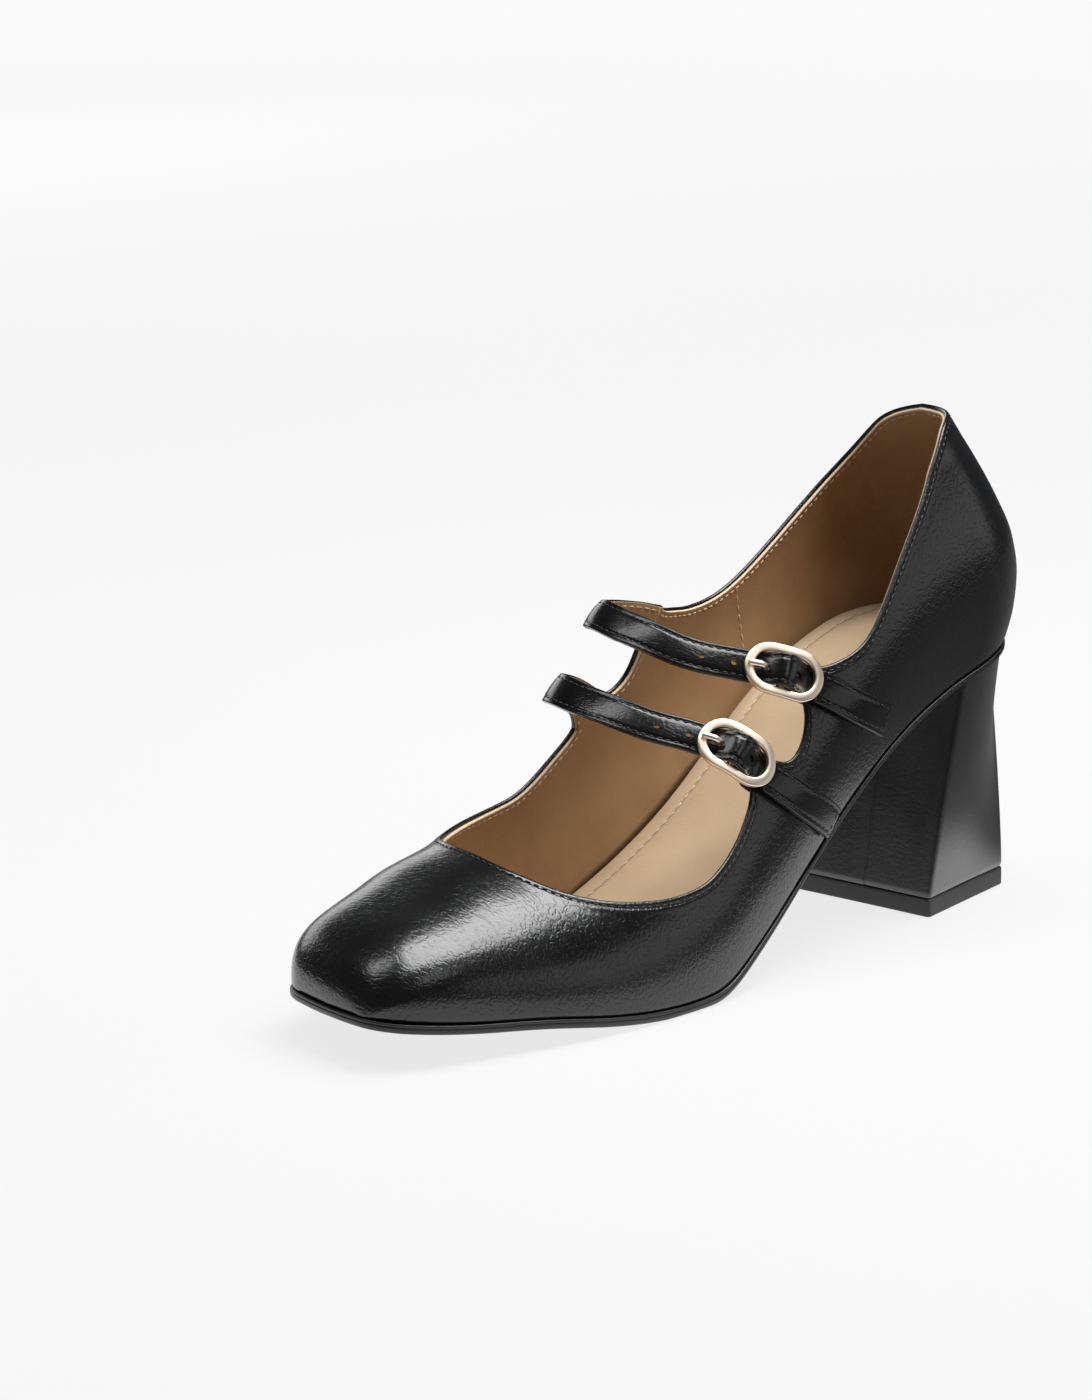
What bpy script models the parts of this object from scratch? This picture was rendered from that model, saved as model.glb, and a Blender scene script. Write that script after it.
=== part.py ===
"""Mary jane pump, left shoe: hollow upper, sole, insole, block heel, straps and buckles.

Metres, Z up, toe towards -Y, outer side of the foot towards +X.
The origin is the centre of the heel lift's flat bottom, on the floor.
"""
import bpy
import bmesh
import numpy as np

# Driving sizes
LAST_LENGTH = 0.221
BALL_WIDTH = 0.0735
HEEL_HEIGHT = 0.0646
INSTEP_HEIGHT = 0.079
HEEL_BACK_Y = 0.021
COUNTER_HEIGHT = 0.055
WALL = 0.0018
GAP = 0.0003

SOLE_THICKNESS = 0.00225
SOLE_WAIST_THICKNESS = 0.0016
SOLE_MARGIN_TOE = 0.0004
SOLE_MARGIN_WAIST = 0.0002
INSOLE_THICKNESS = 0.0020
HEEL_PAD_THICKNESS = 0.0045
INSOLE_INSET = 0.0010

LIFT_HEIGHT = 0.0045
LIFT_FRONT_Y = -0.0206
LIFT_BACK_Y = 0.0172
LIFT_FRONT_HALF = 0.0237
LIFT_BACK_HALF = 0.0160
HEEL_BREAST_Y = -0.0100
HEEL_TOP_BACK_Y = 0.0192
HEEL_TOP_INSET = 0.0010

STRAP_WIDTH = 0.0080
STRAP_THICKNESS = 0.0016
STRAP_BOW = {"strap_upper": 0.0036, "strap_lower": 0.0026}
TAB_THICKNESS = 0.0018
TAB_LENGTH = 0.0265
HOLE_RADIUS = 0.0011
HOLE_PITCH = 0.0073
ELASTIC_THICKNESS = 0.0010
ELASTIC_WIDTH = 0.0078
ELASTIC_LENGTH = 0.0190

BUCKLE_LENGTH = 0.0186
BUCKLE_WIDTH = 0.0128
BUCKLE_BAND = 0.0021
BUCKLE_THICKNESS = 0.0015
BAR_RADIUS = 0.0006
PRONG_RADIUS = 0.0006

# Heel and toe ends of the last, as shares of its length
HEEL_ROUND = 0.125
TOE_ROUND = 0.115
TOE_NOSE = 0.108
TOE_FLAT = 0.45
TOE_BOW = 0.0025
TOE_SKEW = 0.225

# Section table of the last. Columns: share along from the heel, outer and inner half width,
# outer and inner side bulge, ridge height, ridge shift, outer and inner roundness.
# Widths, bulges and shifts are shares of BALL_WIDTH, heights of INSTEP_HEIGHT.
SECTIONS = np.array([
    (0.00, 0.354, 0.354, 0.041, 0.041, 0.886, 0.000, 2.05, 2.05),
    (0.10, 0.354, 0.347, 0.041, 0.041, 0.949, 0.000, 2.10, 2.10),
    (0.20, 0.361, 0.333, 0.041, 0.041, 1.000, -0.027, 2.20, 2.30),
    (0.30, 0.374, 0.313, 0.041, 0.054, 0.962, -0.075, 2.30, 2.60),
    (0.40, 0.398, 0.313, 0.034, 0.075, 0.880, -0.122, 2.40, 2.90),
    (0.50, 0.445, 0.367, 0.014, 0.054, 0.790, -0.136, 2.30, 2.80),
    (0.60, 0.492, 0.435, 0.007, 0.014, 0.662, -0.109, 2.20, 2.50),
    (0.68, 0.501, 0.473, 0.000, 0.000, 0.550, -0.082, 2.20, 2.30),
    (0.76, 0.484, 0.470, 0.000, 0.000, 0.440, -0.054, 2.20, 2.20),
    (0.84, 0.440, 0.422, 0.000, 0.000, 0.364, -0.041, 2.30, 2.30),
    (0.92, 0.378, 0.361, 0.013, 0.013, 0.283, -0.020, 2.50, 2.50),
    (1.00, 0.348, 0.355, 0.035, 0.035, 0.241, -0.030, 2.80, 2.80),
])

# Feather line, where the upper meets the sole. Columns: share along, height as a share of HEEL_HEIGHT.
FEATHER = np.array([
    (0.00, 1.000), (0.08, 0.957), (0.16, 0.889), (0.24, 0.783), (0.32, 0.625), (0.40, 0.430), (0.48, 0.241),
    (0.54, 0.122), (0.59, 0.048), (0.62, 0.0366), (0.67, 0.0366), (0.71, 0.045), (0.76, 0.064),
    (0.84, 0.105), (0.92, 0.136), (1.00, 0.184),
])

# Back curve of the counter. Columns: height above the feather and lean to the back, shares of COUNTER_HEIGHT.
COUNTER = np.array([
    (0.000, 0.000), (0.145, 0.051), (0.291, 0.065), (0.455, 0.033), (0.636, -0.062), (0.818, -0.175),
    (1.000, -0.300), (1.182, -0.436), (1.636, -0.800),
])

# Top edge of the upper, run by run between corners, from the back over the outer side to the toe and
# back along the inner side. Columns: share along, place around (1 outer feather, 0 ridge, -1 inner
# feather), then the share along and place around of the feather point below it.
TOPLINE_RUNS = [
    ("outer collar", [
        (0.000, 0.420, 0.000, 1.0), (0.030, 0.425, 0.030, 1.0), (0.062, 0.438, 0.064, 1.0),
        (0.093, 0.464, 0.097, 1.0), (0.124, 0.510, 0.130, 1.0), (0.181, 0.605, 0.183, 1.0),
        (0.245, 0.684, 0.240, 1.0), (0.294, 0.735, 0.280, 1.0), (0.325, 0.745, 0.302, 1.0),
        (0.352, 0.723, 0.320, 1.0), (0.373, 0.693, 0.334, 1.0), (0.392, 0.655, 0.348, 1.0)]),
    ("outer upper ear", [(0.392, 0.655, 0.348, 1.0), (0.414, 0.687, 0.366, 1.0)]),
    ("outer opening", [
        (0.414, 0.687, 0.366, 1.0), (0.415, 0.707, 0.373, 1.0), (0.419, 0.729, 0.382, 1.0),
        (0.427, 0.747, 0.393, 1.0), (0.438, 0.752, 0.406, 1.0), (0.452, 0.739, 0.420, 1.0),
        (0.466, 0.702, 0.434, 1.0), (0.477, 0.667, 0.444, 1.0)]),
    ("outer lower ear", [(0.477, 0.667, 0.444, 1.0), (0.505, 0.675, 0.466, 1.0)]),
    ("throat", [
        (0.505, 0.675, 0.466, 1.0), (0.510, 0.691, 0.475, 1.0), (0.519, 0.704, 0.488, 1.0),
        (0.535, 0.717, 0.510, 1.0), (0.563, 0.720, 0.548, 1.0), (0.598, 0.711, 0.592, 1.0),
        (0.645, 0.685, 0.650, 1.0), (0.699, 0.620, 0.720, 1.0), (0.743, 0.525, 0.795, 1.0),
        (0.775, 0.402, 0.880, 1.0), (0.790, 0.280, 0.950, 1.0), (0.795, 0.190, 1.000, 1.0),
        (0.795, 0.115, 1.000, 0.40), (0.792, 0.040, 1.000, 0.14), (0.788, -0.030, 1.000, 0.00),
        (0.782, -0.100, 1.000, -0.14), (0.773, -0.170, 1.000, -0.40), (0.761, -0.245, 1.000, -1.0),
        (0.739, -0.330, 0.950, -1.0),
        (0.700, -0.430, 0.870, -1.0), (0.652, -0.515, 0.785, -1.0), (0.605, -0.580, 0.700, -1.0),
        (0.565, -0.625, 0.625, -1.0), (0.530, -0.650, 0.565, -1.0), (0.510, -0.655, 0.530, -1.0),
        (0.504, -0.640, 0.512, -1.0), (0.505, -0.614, 0.500, -1.0)]),
    ("inner lower ear", [(0.505, -0.614, 0.500, -1.0), (0.478, -0.599, 0.476, -1.0)]),
    ("inner opening", [
        (0.478, -0.599, 0.476, -1.0), (0.469, -0.645, 0.464, -1.0), (0.458, -0.680, 0.450, -1.0),
        (0.446, -0.699, 0.434, -1.0), (0.434, -0.702, 0.418, -1.0), (0.426, -0.686, 0.404, -1.0),
        (0.422, -0.656, 0.392, -1.0), (0.419, -0.624, 0.382, -1.0)]),
    ("inner upper ear", [(0.419, -0.624, 0.382, -1.0), (0.402, -0.557, 0.356, -1.0)]),
    ("inner collar", [
        (0.402, -0.557, 0.356, -1.0), (0.388, -0.616, 0.350, -1.0), (0.370, -0.668, 0.341, -1.0),
        (0.349, -0.716, 0.329, -1.0),
        (0.325, -0.754, 0.312, -1.0), (0.297, -0.781, 0.290, -1.0), (0.265, -0.792, 0.264, -1.0),
        (0.230, -0.784, 0.232, -1.0), (0.190, -0.757, 0.193, -1.0), (0.146, -0.710, 0.150, -1.0),
        (0.097, -0.642, 0.102, -1.0), (0.058, -0.560, 0.062, -1.0), (0.028, -0.481, 0.030, -1.0),
        (0.000, -0.420, 0.000, -1.0)]),
]

# Middle lines of the straps over the last, from the inner ear to the end of the outer tab.
# Columns: share along, place around.
STRAP_LINES = {
    "upper": [
        (0.4105, -0.592), (0.430, -0.510), (0.454, -0.400), (0.478, -0.260), (0.493, -0.100), (0.500, 0.050),
        (0.498, 0.170), (0.486, 0.300), (0.470, 0.395), (0.451, 0.485), (0.431, 0.567), (0.410, 0.646),
        (0.385, 0.732), (0.349, 0.834), (0.303, 0.928)],
    "lower": [
        (0.4915, -0.606), (0.508, -0.510), (0.527, -0.400), (0.547, -0.260), (0.562, -0.100), (0.568, 0.050),
        (0.565, 0.170), (0.555, 0.290), (0.543, 0.375), (0.529, 0.462), (0.513, 0.548), (0.496, 0.646),
        (0.475, 0.740), (0.440, 0.862), (0.393, 0.978)],
}
# Place of each buckle's centre bar around the last, on its strap's middle line.
BUCKLE_AROUND = {"upper": 0.578, "lower": 0.567}

LOOP_STEP = 0.0032
WALL_ROWS = (0.0, 0.10, 0.24, 0.40, 0.56, 0.70, 0.82, 0.92, 1.0)


def monotone(table, column, share):
    """Read one column of a table at the given shares with a smooth curve that never overshoots.

    Args:
        table: Rows of numbers, the first column rising.
        column: Index of the column to read.
        share: Places along the first column.

    Returns:
        Array of the column's values there.
    """
    xs = table[:, 0]
    ys = table[:, column]
    share = np.asarray(share, float)
    step = np.diff(xs)
    slope = np.diff(ys) / step
    tangent = np.empty_like(ys)
    tangent[0] = slope[0]
    tangent[-1] = slope[-1]
    before, after = slope[:-1], slope[1:]
    first = 2.0 * step[1:] + step[:-1]
    second = step[1:] + 2.0 * step[:-1]
    same = before * after > 0.0
    safe_before = np.where(same, before, 1.0)
    safe_after = np.where(same, after, 1.0)
    tangent[1:-1] = np.where(same, (first + second) / (first / safe_before + second / safe_after), 0.0)
    place = np.clip(np.searchsorted(xs, share, side="right") - 1, 0, len(xs) - 2)
    width = step[place]
    inside = np.clip(share, xs[0], xs[-1])
    t = (inside - xs[place]) / width
    value = ((2 * t**3 - 3 * t**2 + 1) * ys[place] + (t**3 - 2 * t**2 + t) * width * tangent[place]
             + (3 * t**2 - 2 * t**3) * ys[place + 1] + (t**3 - t**2) * width * tangent[place + 1])
    beyond = np.where(share > xs[-1], tangent[-1], tangent[0])
    return value + beyond * (share - inside)


def natural(knots, values, places):
    """Natural cubic spline through the knots, one column or several.

    Args:
        knots: Rising places of the knots.
        values: Values at the knots, a row for each knot.
        places: Places to read.

    Returns:
        Array of the values at the places.
    """
    knots = np.asarray(knots, float)
    values = np.asarray(values, float)
    places = np.asarray(places, float)
    count = len(knots)
    step = np.diff(knots)
    matrix = np.eye(count)
    right = np.zeros_like(values)
    for i in range(1, count - 1):
        matrix[i, i - 1] = step[i - 1]
        matrix[i, i] = 2.0 * (step[i - 1] + step[i])
        matrix[i, i + 1] = step[i]
        right[i] = 6.0 * ((values[i + 1] - values[i]) / step[i] - (values[i] - values[i - 1]) / step[i - 1])
    bend = np.linalg.solve(matrix, right)
    i = np.clip(np.searchsorted(knots, places, side="right") - 1, 0, count - 2)
    h = step[i]
    a = (knots[i + 1] - places) / h
    if values.ndim > 1:
        h, a = h[:, None], a[:, None]
    b = 1.0 - a
    return (a * values[i] + b * values[i + 1]
            + ((a**3 - a) * bend[i] + (b**3 - b) * bend[i + 1]) * h**2 / 6.0)


def feather_height(along):
    """Height of the feather line at a share along the last."""
    return natural(FEATHER[:, 0], FEATHER[:, 1], along) * HEEL_HEIGHT


def section(column, along):
    """One column of the section table at a share along the last."""
    return natural(SECTIONS[:, 0], SECTIONS[:, column], along)


def round_end(rest, power):
    """Quarter of a rounded end: 1 at rest 0, falling to 0 at rest 1."""
    rest = np.clip(rest, 0.0, 1.0)
    return (1.0 - rest**power) ** (1.0 / power)


def half_width(along, side):
    """Half width of the last's feather outline.

    Args:
        along: Share along from the heel.
        side: 1 for the outer side, -1 for the inner side.

    Returns:
        Array of half widths in metres.
    """
    share = np.where(side > 0, section(1, along), section(2, along))
    toe = TOE_FLAT + (1.0 - TOE_FLAT) * round_end((along - 1.0 + TOE_ROUND) / TOE_ROUND, 2.35)
    return share * BALL_WIDTH * toe * round_end(1.0 - along / HEEL_ROUND, 2.1)


def toe_bow(x, along):
    """How far the rounded, skewed front of the toe stands forward at a place across."""
    front = TOE_BOW * (1.0 - (x / 0.022) ** 2) + TOE_SKEW * x
    return front * np.clip((along - 0.8) / 0.2, 0.0, 1.0) ** 2


def last_surface(along, around):
    """Point on the outside of the upper's full form.

    Each section is a rounded arch: across it the cosine and up it the sine of one angle, both raised
    to the section's roundness, with the ridge shifted to the inner side and the sides bulging.

    Args:
        along: Share along from the heel.
        around: 1 at the outer feather, 0 at the ridge, -1 at the inner feather.

    Returns:
        Array of points, x, y and z in the last axis.
    """
    along, around = np.broadcast_arrays(np.asarray(along, float), np.asarray(around, float))
    side = np.where(around >= 0.0, 1.0, -1.0)
    angle = (1.0 - np.abs(around)) * np.pi / 2.0
    power = 2.0 / np.where(side > 0, section(7, along), section(8, along))
    across = np.clip(np.cos(angle), 0.0, 1.0) ** power
    up = np.clip(np.sin(angle), 0.0, 1.0) ** power
    ridge = section(5, along) * INSTEP_HEIGHT * round_end((along - 1.0 + TOE_NOSE) / TOE_NOSE, 2.3)
    height = ridge * up
    bulge = np.where(side > 0, section(3, along), section(4, along)) * BALL_WIDTH
    bulge = bulge * round_end(1.0 - along / HEEL_ROUND, 2.1) * np.sin(np.pi * np.clip(height / 0.05, 0.0, 1.0))
    x = side * (half_width(along, side) + bulge) * across
    x = x + section(6, along) * BALL_WIDTH * np.sin(angle) ** 2
    lean = monotone(COUNTER, 1, height / COUNTER_HEIGHT) * COUNTER_HEIGHT
    y = HEEL_BACK_Y - along * LAST_LENGTH + lean * np.clip(1.0 - along / 0.35, 0.0, 1.0) ** 2
    y = y - toe_bow(x, along)
    return np.stack([x, y, feather_height(along) + height], axis=-1)


def even_place(along):
    """Turn a share along into an angle share, which spaces the rounded ends evenly."""
    return np.arccos(np.clip(1.0 - 2.0 * np.asarray(along, float), -1.0, 1.0)) / np.pi


def share_place(place):
    """Turn an angle share back into a share along."""
    return (1.0 - np.cos(np.pi * np.clip(place, 0.0, 1.0))) / 2.0


def topline_loop(step):
    """Points around the top edge and the feather points below them.

    Args:
        step: Length of one step along the edge.

    Returns:
        Two arrays of angle share and place around, for the top edge and for the feather.
    """
    tops, feet = [], []
    for _, rows in TOPLINE_RUNS:
        rows = np.array(rows)
        top = np.stack([even_place(rows[:, 0]), rows[:, 1]], axis=-1)
        foot = np.stack([even_place(rows[:, 2]), rows[:, 3]], axis=-1)
        points = last_surface(rows[:, 0], rows[:, 1])
        reach = np.concatenate([[0.0], np.cumsum(np.linalg.norm(np.diff(points, axis=0), axis=1))])
        count = max(int(round(reach[-1] / step)), 3)
        places = np.linspace(0.0, reach[-1], count + 1)[:-1]
        tops.append(natural(reach, top, places) if len(rows) > 2 else
                    top[0] + (top[1] - top[0]) * (places / reach[-1])[:, None])
        feet.append(np.stack([monotone(np.stack([reach, foot[:, 0]], axis=-1), 1, places),
                              monotone(np.stack([reach, foot[:, 1]], axis=-1), 1, places)], axis=-1))
    return np.concatenate(tops), np.concatenate(feet)


def loop_normals(grid):
    """Outward normals of a grid closed around its second axis."""
    around = np.roll(grid, -1, axis=1) - np.roll(grid, 1, axis=1)
    up = np.gradient(grid, axis=0)
    normal = np.cross(up, around)
    return normal / np.linalg.norm(normal, axis=-1, keepdims=True)


def shell_grids(step, rows):
    """Outer and inner skins of the upper as grids, rows up from the feather.

    Args:
        step: Step along the top edge.
        rows: Shares up the wall from the feather to the top edge.

    Returns:
        Outer grid and inner grid of points.
    """
    top, foot = topline_loop(step)
    share = np.asarray(rows)[:, None, None]
    mixed = foot[None] + (top - foot)[None] * share
    along = share_place(mixed[..., 0])
    outer = last_surface(along, mixed[..., 1])
    normal = loop_normals(outer)
    inner = outer - normal * WALL
    flat = normal[0] * np.array([1.0, 1.0, 0.0])
    flat = flat / np.linalg.norm(flat, axis=-1, keepdims=True)
    foot_in = outer[0] - flat * WALL
    place = (HEEL_BACK_Y - foot_in[:, 1] - toe_bow(foot_in[:, 0], along[0])) / LAST_LENGTH
    foot_in[:, 2] = feather_height(place)
    inner[0] = foot_in
    return outer, inner


def make_mesh(name, points, faces, collection):
    """Mesh object from points and faces, with its normals made to face out."""
    mesh = bpy.data.meshes.new(name)
    mesh.from_pydata([tuple(map(float, p)) for p in points], [], faces)
    work = bmesh.new()
    work.from_mesh(mesh)
    bmesh.ops.recalc_face_normals(work, faces=work.faces)
    work.to_mesh(mesh)
    work.free()
    body = bpy.data.objects.new(name, mesh)
    collection.objects.link(body)
    return body


def paint(body, colour, roughness, metallic=0.0):
    """Give the object its own plain material."""
    material = bpy.data.materials.new(body.name + "_finish")
    material.use_nodes = True
    shader = material.node_tree.nodes["Principled BSDF"]
    shader.inputs["Base Color"].default_value = (*colour, 1.0)
    shader.inputs["Roughness"].default_value = roughness
    shader.inputs["Metallic"].default_value = metallic
    body.data.materials.append(material)


def grid_faces(rows, columns, offset=0, closed=False):
    """Quads of a grid stored row by row."""
    faces = []
    last = columns if closed else columns - 1
    for i in range(rows - 1):
        for j in range(last):
            k = (j + 1) % columns
            faces.append((offset + i * columns + j, offset + i * columns + k,
                          offset + (i + 1) * columns + k, offset + (i + 1) * columns + j))
    return faces


def build_upper(collection):
    """Hollow upper: outer skin, inner skin and the two rims that join them."""
    outer, inner = shell_grids(LOOP_STEP, WALL_ROWS)
    rows, columns = outer.shape[:2]
    points = np.concatenate([outer.reshape(-1, 3), inner.reshape(-1, 3)])
    size = rows * columns
    faces = grid_faces(rows, columns, 0, True)
    faces += [tuple(reversed(face)) for face in grid_faces(rows, columns, size, True)]
    for j in range(columns):
        k = (j + 1) % columns
        faces.append((j, size + j, size + k, k))
        top = (rows - 1) * columns
        faces.append((top + j, top + k, size + top + k, size + top + j))
    return make_mesh("upper", points, faces, collection)


def sole_point(along, across, drop):
    """Point of the sole's layers: the feather height lowered by a drop."""
    x = np.asarray(across, float)
    y = HEEL_BACK_Y - along * LAST_LENGTH - toe_bow(x, along)
    return np.stack([x, y, feather_height(along) - drop], axis=-1)


def layer(name, collection, margin, top_drop, bottom_drop, stations=58, lanes=6, floor=None):
    """Flat layer with the last's outline, from one drop below the feather to another.

    Args:
        name: Node name.
        collection: Where the object goes.
        margin: Function of the share along giving how far the edge stands out of the feather.
        top_drop: Function of the share along giving how far the top lies below the feather.
        bottom_drop: Function of the share along giving how far the bottom lies below the feather.
        stations: Steps along.
        lanes: Steps across.
        floor: Lowest height of the bottom, or None.

    Returns:
        The mesh object.
    """
    place = share_place(np.linspace(0.0, 1.0, stations + 1))
    place = 0.0008 + place * (1.0 - 0.0008)
    stretch_back = margin(0.0) / LAST_LENGTH
    stretch_front = margin(1.0) / LAST_LENGTH
    along = -stretch_back + place * (1.0 + stretch_back + stretch_front)
    left = -(half_width(place, -1) + margin(place))
    right = half_width(place, 1) + margin(place)
    lane = np.linspace(0.0, 1.0, lanes + 1)
    across = left[:, None] + (right - left)[:, None] * lane[None, :]
    grid_along = np.repeat(along[:, None], lanes + 1, axis=1)
    top = sole_point(grid_along, across, top_drop(place)[:, None])
    bottom = sole_point(grid_along, across, bottom_drop(place)[:, None])
    if floor is not None:
        bottom[..., 2] = np.maximum(bottom[..., 2], floor)
    rows, columns = top.shape[:2]
    size = rows * columns
    points = np.concatenate([top.reshape(-1, 3), bottom.reshape(-1, 3)])
    faces = grid_faces(rows, columns)
    faces += [tuple(reversed(face)) for face in grid_faces(rows, columns, size)]
    rim = [j for j in range(columns)]
    rim += [i * columns + columns - 1 for i in range(1, rows)]
    rim += [(rows - 1) * columns + j for j in range(columns - 2, -1, -1)]
    rim += [i * columns for i in range(rows - 2, 0, -1)]
    for i, a in enumerate(rim):
        b = rim[(i + 1) % len(rim)]
        faces.append((a, b, size + b, size + a))
    return make_mesh(name, points, faces, collection)


def sole_margin(place):
    """How far the sole's edge stands out of the feather line."""
    fore = np.clip((np.asarray(place, float) - 0.45) / 0.15, 0.0, 1.0)
    fore = fore * fore * (3.0 - 2.0 * fore)
    return SOLE_MARGIN_WAIST + (SOLE_MARGIN_TOE - SOLE_MARGIN_WAIST) * fore


def sole_thickness(place):
    """Thickness of the outsole: full under the forefoot, thin at the waist and under the seat."""
    fore = np.clip((np.asarray(place, float) - 0.42) / 0.16, 0.0, 1.0)
    fore = fore * fore * (3.0 - 2.0 * fore)
    return SOLE_WAIST_THICKNESS + (SOLE_THICKNESS - SOLE_WAIST_THICKNESS) * fore


def build_outsole(collection):
    """Full-length outsole with a flat tread spot under the ball."""
    return layer("outsole", collection, sole_margin, lambda place: GAP + 0.0 * place,
                 lambda place: GAP + sole_thickness(place), floor=0.0)


def insole_thickness(place):
    """Thickness of the insole: a pad at the heel, thin under the forefoot."""
    rear = np.clip((0.42 - np.asarray(place, float)) / 0.24, 0.0, 1.0)
    rear = rear * rear * (3.0 - 2.0 * rear)
    return INSOLE_THICKNESS + (HEEL_PAD_THICKNESS - INSOLE_THICKNESS) * rear


def build_insole(collection):
    """Padded sock board inside the upper."""
    inset = WALL + INSOLE_INSET
    return layer("insole", collection, lambda place: -inset + 0.0 * np.asarray(place, float),
                 lambda place: -insole_thickness(place), lambda place: 0.0 * place, stations=48, lanes=4)


def heel_outline(share, level):
    """Half widths and y of the heel at a share from the breast to the back and a level up.

    Args:
        share: 0 at the breast, 1 at the back.
        level: 0 at the foot, 1 under the seat.

    Returns:
        Left x, right x and y.
    """
    low_half = LIFT_FRONT_HALF + (LIFT_BACK_HALF - LIFT_FRONT_HALF) * share
    low_y = LIFT_FRONT_Y + (LIFT_BACK_Y - LIFT_FRONT_Y) * share
    high_y = HEEL_BREAST_Y + (HEEL_TOP_BACK_Y - HEEL_BREAST_Y) * np.sin(share * np.pi / 2.0)
    place = (HEEL_BACK_Y - high_y) / LAST_LENGTH
    right = half_width(place, 1) - HEEL_TOP_INSET
    left = half_width(place, -1) - HEEL_TOP_INSET
    ease = level**1.25
    x_right = low_half + (right - low_half) * ease
    x_left = low_half + (left - low_half) * ease
    return -x_left, x_right, low_y + (high_y - low_y) * level


def build_heel(collection, stations=14, levels=8, lanes=4):
    """Wrapped block heel lofted from its sharp-cornered foot to the rounded seat."""
    points, index = [], {}
    bottom = LIFT_HEIGHT + GAP
    for i in range(levels + 1):
        level = i / levels
        for j in range(stations + 1):
            share = j / stations
            left, right, y = heel_outline(share, level)
            _, _, seat_y = heel_outline(share, 1.0)
            place = (HEEL_BACK_Y - seat_y) / LAST_LENGTH
            seat = feather_height(place) - GAP - sole_thickness(place) - GAP
            z = bottom + (float(seat) - bottom) * level
            full = i in (0, levels) or j in (0, stations)
            for k in range(lanes + 1) if full else (0, lanes):
                x = left + (right - left) * k / lanes
                index[i, j, k] = len(points)
                points.append((float(x), float(y), z))
    faces = []
    for i in range(levels):
        for j in range(stations):
            for k in (0, lanes):
                faces.append((index[i, j, k], index[i, j + 1, k], index[i + 1, j + 1, k], index[i + 1, j, k]))
        for j in (0, stations):
            for k in range(lanes):
                faces.append((index[i, j, k], index[i, j, k + 1], index[i + 1, j, k + 1], index[i + 1, j, k]))
    for i in (0, levels):
        for j in range(stations):
            for k in range(lanes):
                faces.append((index[i, j, k], index[i, j + 1, k], index[i, j + 1, k + 1], index[i, j, k + 1]))
    return make_mesh("heel", points, faces, collection)


def build_lift(collection):
    """Flat top lift under the heel."""
    corners = [(-LIFT_FRONT_HALF, LIFT_FRONT_Y), (LIFT_FRONT_HALF, LIFT_FRONT_Y),
               (LIFT_BACK_HALF, LIFT_BACK_Y), (-LIFT_BACK_HALF, LIFT_BACK_Y)]
    points = [(x, y, 0.0) for x, y in corners] + [(x, y, LIFT_HEIGHT) for x, y in corners]
    faces = [(0, 1, 2, 3), (4, 5, 6, 7), (0, 1, 5, 4), (1, 2, 6, 5), (2, 3, 7, 6), (3, 0, 4, 7)]
    return make_mesh("heel_lift", points, faces, collection)


class StrapSpace:
    """Straightened space of one strap: length along it, place across it and height above the last."""

    def __init__(self, line, bar_around):
        rows = np.array(line)
        rough = last_surface(rows[:, 0], rows[:, 1])
        reach = np.concatenate([[0.0], np.cumsum(np.linalg.norm(np.diff(rough, axis=0), axis=1))])
        fine = np.linspace(0.0, reach[-1], 241)
        place = natural(reach, rows, fine)
        self.middle = last_surface(place[:, 0], place[:, 1])
        step = 0.002
        ahead = last_surface(place[:, 0] + step, place[:, 1]) - last_surface(place[:, 0] - step, place[:, 1])
        turn = last_surface(place[:, 0], place[:, 1] + 0.02) - last_surface(place[:, 0], place[:, 1] - 0.02)
        normal = np.cross(ahead, turn)
        normal = normal / np.linalg.norm(normal, axis=1, keepdims=True)
        for _ in range(60):
            normal[1:-1] = (normal[:-2] + normal[1:-1] * 2.0 + normal[2:]) / 4.0
        tangent = np.gradient(self.middle, axis=0)
        tangent = tangent / np.linalg.norm(tangent, axis=1, keepdims=True)
        normal = normal - tangent * np.sum(normal * tangent, axis=1, keepdims=True)
        self.normal = normal / np.linalg.norm(normal, axis=1, keepdims=True)
        self.cross = np.cross(self.normal, tangent)
        self.tangent = tangent
        steps = np.linalg.norm(np.diff(self.middle, axis=0), axis=1)
        self.reach = np.concatenate([[0.0], np.cumsum(steps)])
        self.length = self.reach[-1]
        self.bar = float(np.interp(bar_around, place[:, 1], self.reach))
        self.hollow = self.cross_bend(place, ahead / (2.0 * step), turn / 0.04)

    def cross_bend(self, place, by_along, by_around):
        """Bend of the last across the strap, one over its radius, along the middle line."""
        reach = 0.004
        bend = np.zeros(len(place))
        for i, (along, around) in enumerate(place):
            frame = np.stack([by_along[i], by_around[i]], axis=-1)
            shift, _, _, _ = np.linalg.lstsq(frame, self.cross[i] * reach, rcond=None)
            sides = last_surface(np.array([along - shift[0], along + shift[0]]),
                                 np.array([around - shift[1], around + shift[1]]))
            drop = np.mean((sides - self.middle[i]) @ self.normal[i])
            bend[i] = -2.0 * drop / reach**2
        for _ in range(40):
            bend[1:-1] = (bend[:-2] + bend[1:-1] * 2.0 + bend[2:]) / 4.0
        return bend

    def world(self, points, bent=1.0):
        """Carry points of length, across and height into the shoe, bent across with the last or flat."""
        points = np.asarray(points, float)
        place = points[:, 0]
        inside = np.clip(place, 0.0, self.length)

        def read(field):
            return np.stack([np.interp(inside, self.reach, field[:, k]) for k in range(3)], axis=-1)

        base = read(self.middle) + read(self.tangent) * (place - inside)[:, None]
        drop = bent * np.interp(inside, self.reach, self.hollow) * points[:, 1] ** 2 / 2.0
        return base + read(self.cross) * points[:, 1:2] + read(self.normal) * (points[:, 2] - drop)[:, None]


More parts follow.
